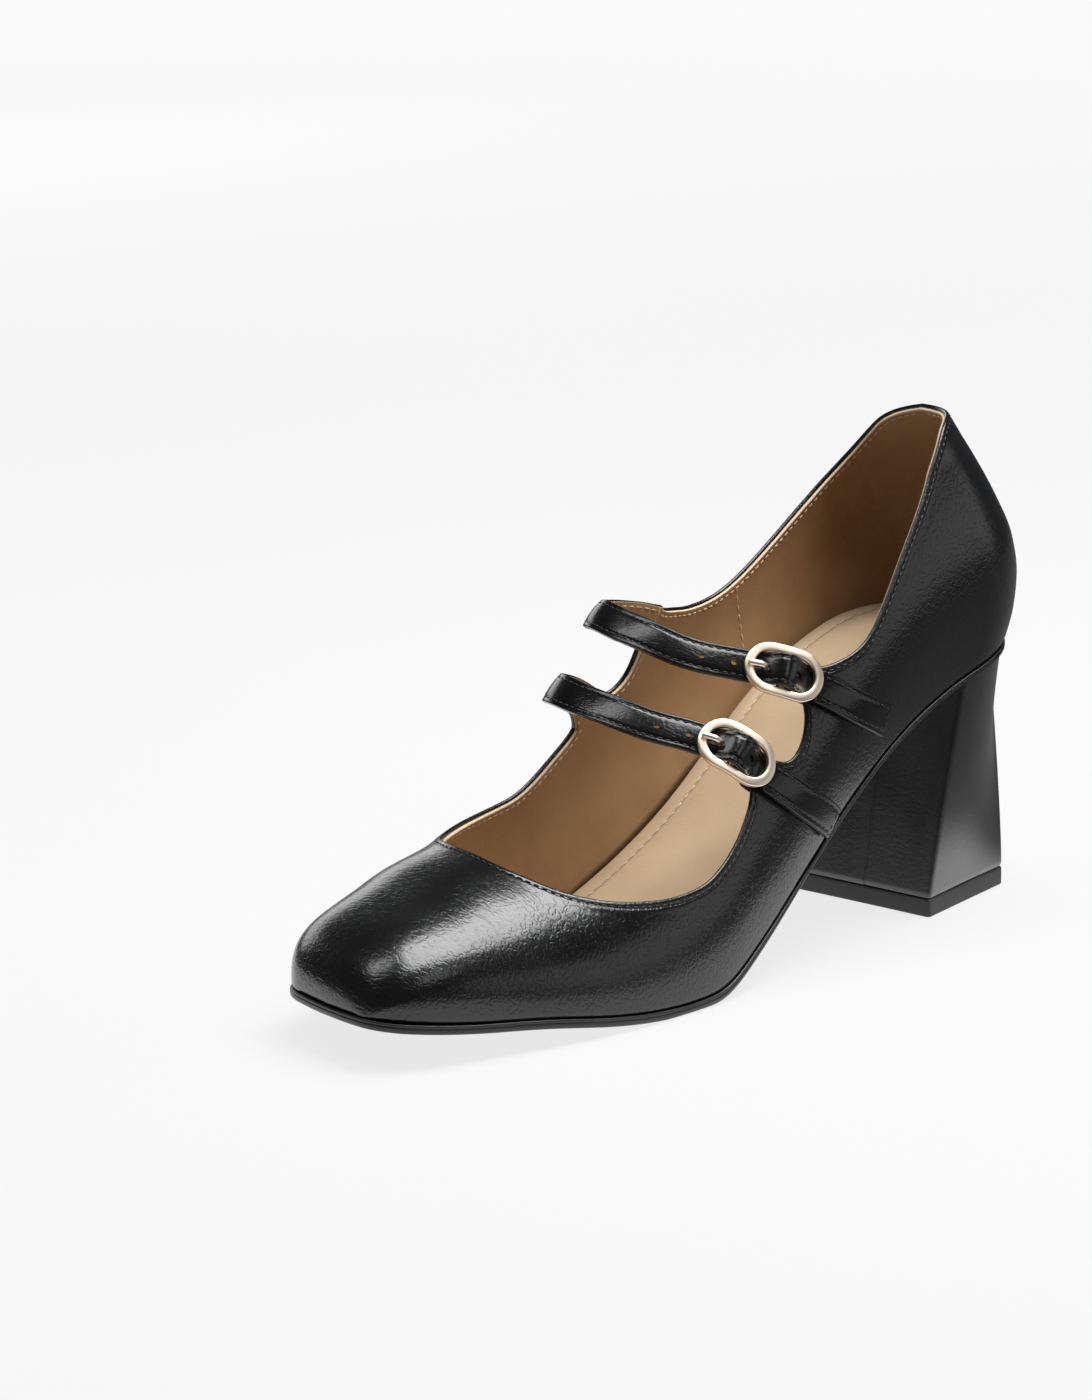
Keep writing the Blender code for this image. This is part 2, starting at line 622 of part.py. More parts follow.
def ribbon(name, space, places, heights, half_widths, thickness, collection, crown=0.0, lanes=4):
    """Strip with a flat section following the strap space.

    Args:
        name: Node name.
        space: The strap space.
        places: Lengths of the stations.
        heights: Heights of the underside at the stations.
        half_widths: Half widths at the stations.
        thickness: Thickness of the strip.
        collection: Where the object goes.
        crown: Extra height of the top at the middle.
        lanes: Steps across.

    Returns:
        The mesh object.
    """
    points = []
    across = np.linspace(-1.0, 1.0, lanes + 1)
    for place, height, half in zip(places, heights, half_widths):
        for lane in across:
            points.append((place, lane * half, height + thickness + crown * (1.0 - lane * lane)))
        for lane in across:
            points.append((place, lane * half, height))
    columns = lanes + 1
    faces = []
    rows = len(places)
    stride = 2 * columns
    for i in range(rows - 1):
        for j in range(lanes):
            a = i * stride + j
            faces.append((a, a + 1, a + 1 + stride, a + stride))
            b = a + columns
            faces.append((b, b + stride, b + 1 + stride, b + 1))
        for j in (0, lanes):
            a = i * stride + j
            faces.append((a, a + stride, a + stride + columns, a + columns))
    for i in (0, rows - 1):
        for j in range(lanes):
            a = i * stride + j
            faces.append((a, a + 1, a + 1 + columns, a + columns))
    return make_mesh(name, space.world(points), faces, collection)


# Height of the strap's underside near the buckle. Columns: length from the bar, height above the last.
STRAP_RISE = np.array([
    (-0.0300, 0.0003), (-0.0090, 0.0003), (-0.0053, 0.0003), (-0.0036, 0.0015), (-0.0018, 0.0031),
    (0.0000, 0.0038), (0.0018, 0.0031), (0.0036, 0.0015), (0.0053, 0.0003), (0.0090, 0.0003),
])
FRAME_UNDER = 0.0022
PRONG_HOLE = -0.0041


def build_strap(name, space, collection, cutters):
    """Strap from the inner ear, under the frame, over the bar and under the frame again, with holes."""
    start = 3.0 * GAP
    end = space.bar + 0.0084
    places = np.concatenate([np.linspace(start, space.bar - 0.012, 20),
                             space.bar + np.array([-0.0100, -0.0080, -0.0064, -0.0053, -0.0044, -0.0034, -0.0024,
                                                   -0.0014, -0.0005, 0.0005, 0.0014, 0.0024, 0.0034, 0.0044,
                                                   0.0053, 0.0060, 0.0067, 0.0074, 0.0079, 0.0084])])
    near = monotone(STRAP_RISE, 1, np.maximum(places - space.bar, -0.03))
    lift = np.clip((places - start) / 0.020, 0.0, 1.0)
    lift = lift * lift * (3.0 - 2.0 * lift)
    free = np.clip((places - start) / (space.bar - 0.0125), 0.0, 1.0)
    bow = STRAP_BOW[name] * np.sin(np.pi * free ** 0.65) ** 2
    heights = -0.0017 + (near + 0.0017) * lift + bow
    half = np.full_like(places, STRAP_WIDTH / 2.0)
    tip = np.clip((places - (end - 0.0045)) / 0.0045, 0.0, 1.0)
    half = half * (0.55 + 0.45 * np.sqrt(np.clip(1.0 - tip**2, 0.0, 1.0)))
    body = ribbon(name, space, places, heights, half, STRAP_THICKNESS, collection)
    for count, offset in enumerate((PRONG_HOLE, PRONG_HOLE - HOLE_PITCH, PRONG_HOLE - 2 * HOLE_PITCH,
                                    PRONG_HOLE + HOLE_PITCH)):
        place = space.bar + offset
        ring = []
        for level in (-0.004, 0.010):
            for k in range(12):
                turn = 2.0 * np.pi * k / 12
                ring.append((place + HOLE_RADIUS * np.cos(turn), HOLE_RADIUS * np.sin(turn), level))
        faces = [tuple(range(12)), tuple(range(12, 24))]
        faces += [(k, (k + 1) % 12, 12 + (k + 1) % 12, 12 + k) for k in range(12)]
        cutter = make_mesh(f"{name}_hole_{count}", space.world(ring), faces, cutters)
        cutter.hide_render = True
        cutter.display_type = "WIRE"
        cut = body.modifiers.new(f"hole_{count}", "BOOLEAN")
        cut.operation = "DIFFERENCE"
        cut.solver = "EXACT"
        cut.object = cutter
    return body


def stadium(length, width, count=28):
    """Points around a stadium outline centred on the origin."""
    radius = width / 2.0
    straight = length / 2.0 - radius
    points = []
    for k in range(count):
        turn = 2.0 * np.pi * (k + 0.5) / count
        shift = straight if np.cos(turn) > 0 else -straight
        points.append((shift + radius * np.cos(turn), radius * np.sin(turn)))
    return np.array(points)


def build_buckle(name, space, collection):
    """Oval frame with its centre bar, bent with the strap."""
    outer = stadium(BUCKLE_LENGTH, BUCKLE_WIDTH)
    inner = stadium(BUCKLE_LENGTH - 2 * BUCKLE_BAND, BUCKLE_WIDTH - 2 * BUCKLE_BAND)
    edge = 0.15
    profile = [(0.0, edge), (edge, 0.0), (1.0 - edge, 0.0), (1.0, edge), (1.0, 1.0 - edge), (1.0 - edge, 1.0),
               (edge, 1.0), (0.0, 1.0 - edge)]
    work = bmesh.new()
    rings = []
    for a, b in zip(outer, inner):
        ring = []
        for u, v in profile:
            x, y = a + (b - a) * u
            ring.append(work.verts.new((x, y, FRAME_UNDER + v * BUCKLE_THICKNESS)))
        rings.append(ring)
    for i in range(len(rings)):
        one, two = rings[i], rings[(i + 1) % len(rings)]
        for k in range(len(profile)):
            n = (k + 1) % len(profile)
            work.faces.new((one[k], two[k], two[n], one[n]))
    bmesh.ops.recalc_face_normals(work, faces=work.faces)
    mesh = bpy.data.meshes.new(name)
    work.to_mesh(mesh)
    work.free()
    frame = bpy.data.objects.new(name, mesh)
    collection.objects.link(frame)
    half = BUCKLE_WIDTH / 2.0 - BUCKLE_BAND * 0.5
    middle = FRAME_UNDER + BAR_RADIUS
    ring = []
    for side in (-half, half):
        for k in range(10):
            turn = 2.0 * np.pi * k / 10
            ring.append((BAR_RADIUS * np.cos(turn), side, middle + BAR_RADIUS * np.sin(turn)))
    faces = [tuple(range(10)), tuple(range(10, 20))]
    faces += [(k, (k + 1) % 10, 10 + (k + 1) % 10, 10 + k) for k in range(10)]
    bar = make_mesh(name + "_bar", ring, faces, collection)
    join = frame.modifiers.new("bar", "BOOLEAN")
    join.operation = "UNION"
    join.solver = "EXACT"
    join.object = bar
    bpy.context.view_layer.update()
    whole = bpy.data.meshes.new_from_object(frame.evaluated_get(bpy.context.evaluated_depsgraph_get()))
    frame.modifiers.clear()
    frame.data = whole
    bpy.data.objects.remove(bar)
    flat = np.array([tuple(v.co) for v in whole.vertices])
    flat[:, 0] += space.bar
    moved = space.world(flat, 0.0)
    for vertex, place in zip(whole.vertices, moved):
        vertex.co = tuple(map(float, place))
    return frame


def rod(name, space, line, radius, collection, sides=8):
    """Round rod along a line of length, across and height, lying in the strap's length."""
    line = np.array(line)
    direction = np.gradient(line, axis=0)
    direction = direction / np.linalg.norm(direction, axis=1, keepdims=True)
    points = []
    for place, way in zip(line, direction):
        up = np.array([-way[2], 0.0, way[0]])
        for k in range(sides):
            turn = 2.0 * np.pi * k / sides
            points.append(place + radius * (np.array([0.0, 1.0, 0.0]) * np.cos(turn) + up * np.sin(turn)))
    rows = len(line)
    faces = grid_faces(rows, sides, 0, True)
    faces.append(tuple(range(sides)))
    faces.append(tuple(range((rows - 1) * sides, rows * sides)))
    return make_mesh(name, space.world(points), faces, collection)


def build_prong(name, space, collection):
    """Prong from below the strap, up through its hole and onto the end of the frame."""
    top = FRAME_UNDER + BUCKLE_THICKNESS + GAP + PRONG_RADIUS
    bar = space.bar
    hole = bar + PRONG_HOLE
    line = [(bar - 0.0017, 0.0, 0.0012), (bar - 0.0030, 0.0, 0.0004), (hole + 0.0001, 0.0, 0.0008),
            (hole, 0.0, 0.0020), (hole - 0.0003, 0.0, 0.0034), (hole - 0.0014, 0.0, top),
            (bar - 0.0070, 0.0, top + 0.0001), (bar - 0.0086, 0.0, top)]
    return rod(name, space, line, PRONG_RADIUS, collection)


def build_elastic(name, space, collection):
    """Elastic from under the bar down inside the outer ear."""
    rows = np.array([(-0.0010, 0.0009), (0.0006, 0.0009), (0.0020, 0.0003), (0.0038, -0.0014), (0.0054, -0.0029),
                     (0.0066, -0.0033), (ELASTIC_LENGTH, -0.0033)])
    places = np.concatenate([np.linspace(-0.0010, 0.0074, 10), np.linspace(0.0100, ELASTIC_LENGTH, 5)])
    heights = monotone(rows, 1, places)
    half = np.full_like(places, ELASTIC_WIDTH / 2.0)
    return ribbon(name, space, space.bar + places, heights, half, ELASTIC_THICKNESS, collection, lanes=2)


def build_tab(name, space, collection):
    """Leather tab lying on the outside of the outer ear."""
    places = np.linspace(space.bar + 0.0088, min(space.bar + 0.0088 + TAB_LENGTH, space.length), 12)
    half = np.full_like(places, STRAP_WIDTH / 2.0)
    heights = np.full_like(places, GAP)
    return ribbon(name, space, places, heights, half, TAB_THICKNESS, collection, lanes=4)


def main():
    """Build every piece of the shoe."""
    for item in list(bpy.data.objects):
        bpy.data.objects.remove(item, do_unlink=True)
    shoe = bpy.data.collections.new("mary_jane_pump")
    cutters = bpy.data.collections.new("cutters")
    bpy.context.scene.collection.children.link(shoe)
    bpy.context.scene.collection.children.link(cutters)
    black, tan, gold = (0.02, 0.02, 0.02), (0.60, 0.42, 0.25), (0.85, 0.70, 0.48)
    paint(build_upper(shoe), black, 0.35)
    paint(build_outsole(shoe), black, 0.7)
    paint(build_insole(shoe), tan, 0.6)
    paint(build_heel(shoe), black, 0.35)
    paint(build_lift(shoe), (0.05, 0.05, 0.05), 0.8)
    for key in ("upper", "lower"):
        space = StrapSpace(STRAP_LINES[key], BUCKLE_AROUND[key])
        paint(build_strap("strap_" + key, space, shoe, cutters), black, 0.3)
        paint(build_buckle("buckle_" + key, space, shoe), gold, 0.25, 1.0)
        paint(build_prong("prong_" + key, space, shoe), gold, 0.25, 1.0)
        paint(build_elastic("elastic_" + key, space, shoe), black, 0.8)
        paint(build_tab("tab_" + key, space, shoe), black, 0.35)


main()
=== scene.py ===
"""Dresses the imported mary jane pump: leather upper, lining, sock, sole, heel, straps and buckles.

Metres, Z up, toe towards -Y, outer side of this left foot towards +X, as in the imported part.
"""

import logging
import math
from dataclasses import dataclass, field
from enum import Enum

import bmesh
import bpy
import numpy as np
from mathutils import Matrix, Vector


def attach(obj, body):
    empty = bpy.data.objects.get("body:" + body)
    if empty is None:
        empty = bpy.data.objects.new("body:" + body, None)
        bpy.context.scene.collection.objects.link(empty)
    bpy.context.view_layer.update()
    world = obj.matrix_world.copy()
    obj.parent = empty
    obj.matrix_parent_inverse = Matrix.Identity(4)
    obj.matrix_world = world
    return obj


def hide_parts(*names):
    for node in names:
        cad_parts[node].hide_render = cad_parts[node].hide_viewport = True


LOG = logging.getLogger("mary_jane_pump")
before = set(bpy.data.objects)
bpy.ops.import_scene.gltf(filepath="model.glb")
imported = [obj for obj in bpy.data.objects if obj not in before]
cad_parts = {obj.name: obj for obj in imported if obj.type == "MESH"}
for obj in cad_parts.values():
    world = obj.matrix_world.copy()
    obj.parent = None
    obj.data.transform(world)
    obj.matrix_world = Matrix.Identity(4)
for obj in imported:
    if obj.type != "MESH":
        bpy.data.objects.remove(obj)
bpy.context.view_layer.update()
BODY = "root"

MM = 0.001


class Slot(Enum):
    """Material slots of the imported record."""

    UPPER = "upper_leather"
    STRAP = "strap_leather"
    HEEL = "heel_leather"
    SOCK = "sock_leather"
    SOLE = "sole_rubber"
    LIFT = "lift_rubber"
    BUCKLE = "buckle_metal"
    ELASTIC = "elastic_fabric"


# Curves


def monotone(table: np.ndarray, column: int, share: np.ndarray) -> np.ndarray:
    """Read one column of a table with a smooth curve that never overshoots.

    Between two rows the curve is a cubic with the harmonic mean of the neighbouring slopes at each row.

    Args:
        table: Rows of numbers, the first column rising.
        column: Index of the column to read.
        share: Places along the first column.

    Returns:
        Values at the places.
    """
    xs, ys = table[:, 0], table[:, column]
    share = np.asarray(share, float)
    step = np.diff(xs)
    slope = np.diff(ys) / step
    tangent = np.empty_like(ys)
    tangent[0], tangent[-1] = slope[0], slope[-1]
    before, after = slope[:-1], slope[1:]
    first = 2.0 * step[1:] + step[:-1]
    second = step[1:] + 2.0 * step[:-1]
    same = before * after > 0.0
    safe_before = np.where(same, before, 1.0)
    safe_after = np.where(same, after, 1.0)
    tangent[1:-1] = np.where(same, (first + second) / (first / safe_before + second / safe_after), 0.0)
    place = np.clip(np.searchsorted(xs, share, side="right") - 1, 0, len(xs) - 2)
    width = step[place]
    inside = np.clip(share, xs[0], xs[-1])
    t = (inside - xs[place]) / width
    value = ((2 * t**3 - 3 * t**2 + 1) * ys[place] + (t**3 - 2 * t**2 + t) * width * tangent[place]
             + (3 * t**2 - 2 * t**3) * ys[place + 1] + (t**3 - t**2) * width * tangent[place + 1])
    beyond = np.where(share > xs[-1], tangent[-1], tangent[0])
    return value + beyond * (share - inside)


def natural(knots: np.ndarray, values: np.ndarray, places: np.ndarray) -> np.ndarray:
    """Natural cubic spline through knots, one column of values or several.

    Args:
        knots: Rising places of the knots.
        values: Values at the knots.
        places: Places to read.

    Returns:
        Values at the places.
    """
    knots = np.asarray(knots, float)
    values = np.asarray(values, float)
    places = np.asarray(places, float)
    count = len(knots)
    step = np.diff(knots)
    matrix = np.eye(count)
    inner = np.arange(1, count - 1)
    matrix[inner, inner - 1] = step[:-1]
    matrix[inner, inner] = 2.0 * (step[:-1] + step[1:])
    matrix[inner, inner + 1] = step[1:]
    right = np.zeros_like(values)
    slope = (np.diff(values, axis=0).T / step).T
    right[1:-1] = 6.0 * np.diff(slope, axis=0)
    bend = np.linalg.solve(matrix, right)
    i = np.clip(np.searchsorted(knots, places, side="right") - 1, 0, count - 2)
    h = step[i]
    a = (knots[i + 1] - places) / h
    if values.ndim > 1:
        h, a = h[..., None], a[..., None]
    b = 1.0 - a
    return (a * values[i] + b * values[i + 1]
            + ((a**3 - a) * bend[i] + (b**3 - b) * bend[i + 1]) * h**2 / 6.0)


def ease(value: np.ndarray) -> np.ndarray:
    """Smooth step from 0 at value 0 to 1 at value 1."""
    value = np.clip(value, 0.0, 1.0)
    return value * value * (3.0 - 2.0 * value)


def bump(distance: np.ndarray, centre: float, width: float) -> np.ndarray:
    """Bell curve of height 1 round a centre."""
    return np.exp(-(((distance - centre) / width) ** 2))


def unit(vectors: np.ndarray) -> np.ndarray:
    """Vectors scaled to length 1."""
    return vectors / np.maximum(np.linalg.norm(vectors, axis=-1, keepdims=True), 1e-12)


def run_lengths(points: np.ndarray) -> np.ndarray:
    """Length from the first point to each point along a line of points."""
    steps = np.linalg.norm(np.diff(points, axis=0), axis=-1)
    return np.concatenate([[0.0], np.cumsum(steps)])


def round_end(rest: np.ndarray, power: float) -> np.ndarray:
    """Quarter of a rounded end: 1 at rest 0, falling to 0 at rest 1."""
    rest = np.clip(rest, 0.0, 1.0)
    return (1.0 - rest**power) ** (1.0 / power)


# The form the shoe is built on


@dataclass(frozen=True)
class Last:
    """The form inside the shoe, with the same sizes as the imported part.

    A section across it is a rounded arch: across, the cosine, and up, the sine of one angle, both raised
    to the section's roundness, with the ridge shifted to the inner side and the sides bulging.
    """

    length: float = 0.221
    ball_width: float = 0.0735
    heel_height: float = 0.0646
    instep_height: float = 0.079
    back_y: float = 0.021
    counter_height: float = 0.055
    wall: float = 0.0018
    heel_round: float = 0.125
    toe_round: float = 0.115
    toe_nose: float = 0.108
    toe_flat: float = 0.45
    toe_bow: float = 0.0025
    toe_skew: float = 0.225
    # Share along, outer and inner half width, outer and inner bulge, ridge height, ridge shift, roundness
    sections: tuple = (
        (0.00, 0.354, 0.354, 0.041, 0.041, 0.886, 0.000, 2.05, 2.05),
        (0.10, 0.354, 0.347, 0.041, 0.041, 0.949, 0.000, 2.10, 2.10),
        (0.20, 0.361, 0.333, 0.041, 0.041, 1.000, -0.027, 2.20, 2.30),
        (0.30, 0.374, 0.313, 0.041, 0.054, 0.962, -0.075, 2.30, 2.60),
        (0.40, 0.398, 0.313, 0.034, 0.075, 0.880, -0.122, 2.40, 2.90),
        (0.50, 0.445, 0.367, 0.014, 0.054, 0.790, -0.136, 2.30, 2.80),
        (0.60, 0.492, 0.435, 0.007, 0.014, 0.662, -0.109, 2.20, 2.50),
        (0.68, 0.501, 0.473, 0.000, 0.000, 0.550, -0.082, 2.20, 2.30),
        (0.76, 0.484, 0.470, 0.000, 0.000, 0.440, -0.054, 2.20, 2.20),
        (0.84, 0.440, 0.422, 0.000, 0.000, 0.364, -0.041, 2.30, 2.30),
        (0.92, 0.378, 0.361, 0.013, 0.013, 0.283, -0.020, 2.50, 2.50),
        (1.00, 0.348, 0.355, 0.035, 0.035, 0.241, -0.030, 2.80, 2.80),
    )
    # Share along and height of the line where the upper meets the sole
    feather: tuple = (
        (0.00, 1.000), (0.08, 0.957), (0.16, 0.889), (0.24, 0.783), (0.32, 0.625), (0.40, 0.430),
        (0.48, 0.241), (0.54, 0.122), (0.59, 0.048), (0.62, 0.0366), (0.67, 0.0366), (0.71, 0.045),
        (0.76, 0.064), (0.84, 0.105), (0.92, 0.136), (1.00, 0.184),
    )
    # Height above the feather and lean of the back curve
    counter: tuple = (
        (0.000, 0.000), (0.145, 0.051), (0.291, 0.065), (0.455, 0.033), (0.636, -0.062), (0.818, -0.175),
        (1.000, -0.300), (1.182, -0.436), (1.636, -0.800),
    )

    def section(self, column: int, along: np.ndarray) -> np.ndarray:
        """One column of the section table at a share along."""
        table = np.array(self.sections)
        return natural(table[:, 0], table[:, column], along)

    def feather_height(self, along: np.ndarray) -> np.ndarray:
        """Height of the feather line at a share along."""
        table = np.array(self.feather)
        return natural(table[:, 0], table[:, 1], along) * self.heel_height

    def half_width(self, along: np.ndarray, side: np.ndarray) -> np.ndarray:
        """Half width of the feather outline on the outer side, 1, or the inner side, -1."""
        share = np.where(side > 0, self.section(1, along), self.section(2, along))
        nose = round_end((along - 1.0 + self.toe_round) / self.toe_round, 2.35)
        nose = self.toe_flat + (1.0 - self.toe_flat) * nose
        return share * self.ball_width * nose * round_end(1.0 - along / self.heel_round, 2.1)

    def bow(self, x: np.ndarray, along: np.ndarray) -> np.ndarray:
        """How far the rounded front of the toe stands forward at a place across."""
        front = self.toe_bow * (1.0 - (x / 0.022) ** 2) + self.toe_skew * x
        return front * np.clip((along - 0.8) / 0.2, 0.0, 1.0) ** 2

    def surface(self, along: np.ndarray, around: np.ndarray) -> np.ndarray:
        """Points on the outside of the upper's full form.

        Args:
            along: Share along from the heel.
            around: 1 at the outer feather, 0 at the ridge, -1 at the inner feather.

        Returns:
            Points with x, y and z in the last axis.
        """
        along, around = np.broadcast_arrays(np.asarray(along, float), np.asarray(around, float))
        side = np.where(around >= 0.0, 1.0, -1.0)
        angle = (1.0 - np.abs(around)) * np.pi / 2.0
        power = 2.0 / np.where(side > 0, self.section(7, along), self.section(8, along))
        across = np.clip(np.cos(angle), 0.0, 1.0) ** power
        up = np.clip(np.sin(angle), 0.0, 1.0) ** power
        nose = round_end((along - 1.0 + self.toe_nose) / self.toe_nose, 2.3)
        height = self.section(5, along) * self.instep_height * nose * up
        bulge = np.where(side > 0, self.section(3, along), self.section(4, along)) * self.ball_width
        bulge = bulge * round_end(1.0 - along / self.heel_round, 2.1)
        bulge = bulge * np.sin(np.pi * np.clip(height / 0.05, 0.0, 1.0))
        x = side * (self.half_width(along, side) + bulge) * across
        x = x + self.section(6, along) * self.ball_width * np.sin(angle) ** 2
        lean = monotone(np.array(self.counter), 1, height / self.counter_height) * self.counter_height
        y = self.back_y - along * self.length + lean * np.clip(1.0 - along / 0.35, 0.0, 1.0) ** 2
        y = y - self.bow(x, along)
        return np.stack([x, y, self.feather_height(along) + height], axis=-1)

    def share_at(self, x: np.ndarray, y: np.ndarray) -> np.ndarray:
        """Share along of a place on the sole, allowing for the bowed toe."""
        share = (self.back_y - y) / self.length
        return (self.back_y - y - self.bow(x, share)) / self.length


LAST = Last()


@dataclass(frozen=True)
class Topline:
    """Top edge of the upper, run by run between corners, and the feather points below it.

    The runs go from the back over the outer side to the toe and back along the inner side. Each row is
    the share along and place around of the edge, then the same of the feather point below.
    """

    runs: tuple = (
        ((0.000, 0.420, 0.000, 1.0), (0.030, 0.425, 0.030, 1.0), (0.062, 0.438, 0.064, 1.0),
         (0.093, 0.464, 0.097, 1.0), (0.124, 0.510, 0.130, 1.0), (0.181, 0.605, 0.183, 1.0),
         (0.245, 0.684, 0.240, 1.0), (0.294, 0.735, 0.280, 1.0), (0.325, 0.745, 0.302, 1.0),
         (0.352, 0.723, 0.320, 1.0), (0.373, 0.693, 0.334, 1.0), (0.392, 0.655, 0.348, 1.0)),
        ((0.392, 0.655, 0.348, 1.0), (0.414, 0.687, 0.366, 1.0)),
        ((0.414, 0.687, 0.366, 1.0), (0.415, 0.707, 0.373, 1.0), (0.419, 0.729, 0.382, 1.0),
         (0.427, 0.747, 0.393, 1.0), (0.438, 0.752, 0.406, 1.0), (0.452, 0.739, 0.420, 1.0),
         (0.466, 0.702, 0.434, 1.0), (0.477, 0.667, 0.444, 1.0)),
        ((0.477, 0.667, 0.444, 1.0), (0.505, 0.675, 0.466, 1.0)),
        ((0.505, 0.675, 0.466, 1.0), (0.510, 0.691, 0.475, 1.0), (0.519, 0.704, 0.488, 1.0),
         (0.535, 0.717, 0.510, 1.0), (0.563, 0.720, 0.548, 1.0), (0.598, 0.711, 0.592, 1.0),
         (0.645, 0.685, 0.650, 1.0), (0.699, 0.620, 0.720, 1.0), (0.743, 0.525, 0.795, 1.0),
         (0.775, 0.402, 0.880, 1.0), (0.790, 0.280, 0.950, 1.0), (0.795, 0.190, 1.000, 1.0),
         (0.795, 0.115, 1.000, 0.40), (0.792, 0.040, 1.000, 0.14), (0.788, -0.030, 1.000, 0.00),
         (0.782, -0.100, 1.000, -0.14), (0.773, -0.170, 1.000, -0.40), (0.761, -0.245, 1.000, -1.0),
         (0.739, -0.330, 0.950, -1.0), (0.700, -0.430, 0.870, -1.0), (0.652, -0.515, 0.785, -1.0),
         (0.605, -0.580, 0.700, -1.0), (0.565, -0.625, 0.625, -1.0), (0.530, -0.650, 0.565, -1.0),
         (0.510, -0.655, 0.530, -1.0), (0.504, -0.640, 0.512, -1.0), (0.505, -0.614, 0.500, -1.0)),
        ((0.505, -0.614, 0.500, -1.0), (0.478, -0.599, 0.476, -1.0)),
        ((0.478, -0.599, 0.476, -1.0), (0.469, -0.645, 0.464, -1.0), (0.458, -0.680, 0.450, -1.0),
         (0.446, -0.699, 0.434, -1.0), (0.434, -0.702, 0.418, -1.0), (0.426, -0.686, 0.404, -1.0),
         (0.422, -0.656, 0.392, -1.0), (0.419, -0.624, 0.382, -1.0)),
        ((0.419, -0.624, 0.382, -1.0), (0.402, -0.557, 0.356, -1.0)),
        ((0.402, -0.557, 0.356, -1.0), (0.388, -0.616, 0.350, -1.0), (0.370, -0.668, 0.341, -1.0),
         (0.349, -0.716, 0.329, -1.0), (0.325, -0.754, 0.312, -1.0), (0.297, -0.781, 0.290, -1.0),
         (0.265, -0.792, 0.264, -1.0), (0.230, -0.784, 0.232, -1.0), (0.190, -0.757, 0.193, -1.0),
         (0.146, -0.710, 0.150, -1.0), (0.097, -0.642, 0.102, -1.0), (0.058, -0.560, 0.062, -1.0),
         (0.028, -0.481, 0.030, -1.0), (0.000, -0.420, 0.000, -1.0)),
    )

    @staticmethod
    def even(along: np.ndarray) -> np.ndarray:
        """Turn a share along into an angle share, which spaces the rounded ends evenly."""
        return np.arccos(np.clip(1.0 - 2.0 * np.asarray(along, float), -1.0, 1.0)) / np.pi

    @staticmethod
    def share(place: np.ndarray) -> np.ndarray:
        """Turn an angle share back into a share along."""
        return (1.0 - np.cos(np.pi * np.clip(place, 0.0, 1.0))) / 2.0

    def loop(self, step: float) -> tuple[np.ndarray, np.ndarray, np.ndarray]:
        """Evenly spaced points round the edge.

        Args:
            step: Length of one step along the edge.

        Returns:
            Angle share and place around of the edge, the same of the feather, and the run's index.
        """
        tops, feet, names = [], [], []
        for index, run in enumerate(self.runs):
            rows = np.array(run)
            top = np.stack([self.even(rows[:, 0]), rows[:, 1]], axis=-1)
            foot = np.stack([self.even(rows[:, 2]), rows[:, 3]], axis=-1)
            reach = run_lengths(LAST.surface(rows[:, 0], rows[:, 1]))
            count = max(int(round(reach[-1] / step)), 3)
            places = np.linspace(0.0, reach[-1], count + 1)[:-1]
            if len(rows) > 2:
                tops.append(natural(reach, top, places))
            else:
                tops.append(top[0] + (top[1] - top[0]) * (places / reach[-1])[:, None])
            table = np.column_stack([reach, foot])
            feet.append(np.stack([monotone(table, 1, places), monotone(table, 2, places)], axis=-1))
            names.append(np.full(count, index))
        return np.concatenate(tops), np.concatenate(feet), np.concatenate(names)

    def wall(self, step: float, shares: np.ndarray) -> "Wall":
        """The upper's outer skin as a grid of rows up from the feather, closed round the edge.

        Args:
            step: Step along the edge.
            shares: Shares up the wall from the feather to the edge.

        Returns:
            The wall.
        """
        top, foot, _ = self.loop(step)
        mixed = foot[None] + (top - foot)[None] * np.asarray(shares)[:, None, None]
        along = self.share(mixed[..., 0])
        skin = LAST.surface(along, mixed[..., 1])
        round_edge = np.roll(skin, -1, axis=1) - np.roll(skin, 1, axis=1)
        normal = unit(np.cross(np.gradient(skin, axis=0), round_edge))
        near = 0.004
        by_along = LAST.surface(along + near, mixed[..., 1]) - LAST.surface(along - near, mixed[..., 1])
        by_around = LAST.surface(along, mixed[..., 1] + near) - LAST.surface(along, mixed[..., 1] - near)
        waist = (ease((along - 0.26) / 0.04) * ease((0.64 - along) / 0.04))[..., None]
        normal = unit(normal * (1.0 - waist) + unit(np.cross(by_along, by_around)) * waist)
        edge = unit(round_edge[-1])
        down = unit(np.cross(normal[-1], edge))
        return Wall(skin, normal, down)


@dataclass(frozen=True)
class Wall:
    """Outer skin of the upper: points, outward normals, and the way down from the top edge."""

    skin: np.ndarray
    normal: np.ndarray
    down: np.ndarray

    def from_top(self) -> np.ndarray:
        """Length down from the top edge to each point of the grid."""
        steps = np.linalg.norm(np.diff(self.skin[::-1], axis=0), axis=-1)
        below = np.concatenate([np.zeros((1, steps.shape[1])), np.cumsum(steps, axis=0)])
        return below[::-1]

    def lowered(self, depth: float, fade: float) -> np.ndarray:
        """The skin with its top edge lowered by a depth, fading out over a length below."""
        pull = np.clip(1.0 - self.from_top() / fade, 0.0, 1.0) ** 1.5
        return self.skin + self.down[None] * (depth * pull)[..., None]

    def inset(self, depth: float) -> np.ndarray:
        """The skin moved in by a depth, with its lowest row kept level with the feather."""
        moved = self.skin - self.normal * depth
        flat = unit(self.normal[0] * np.array([1.0, 1.0, 0.0]))
        low = self.skin[0] - flat * depth
        low[:, 2] = LAST.feather_height(LAST.share_at(low[:, 0], low[:, 1]))
        moved[0] = low
        return moved


# Meshes


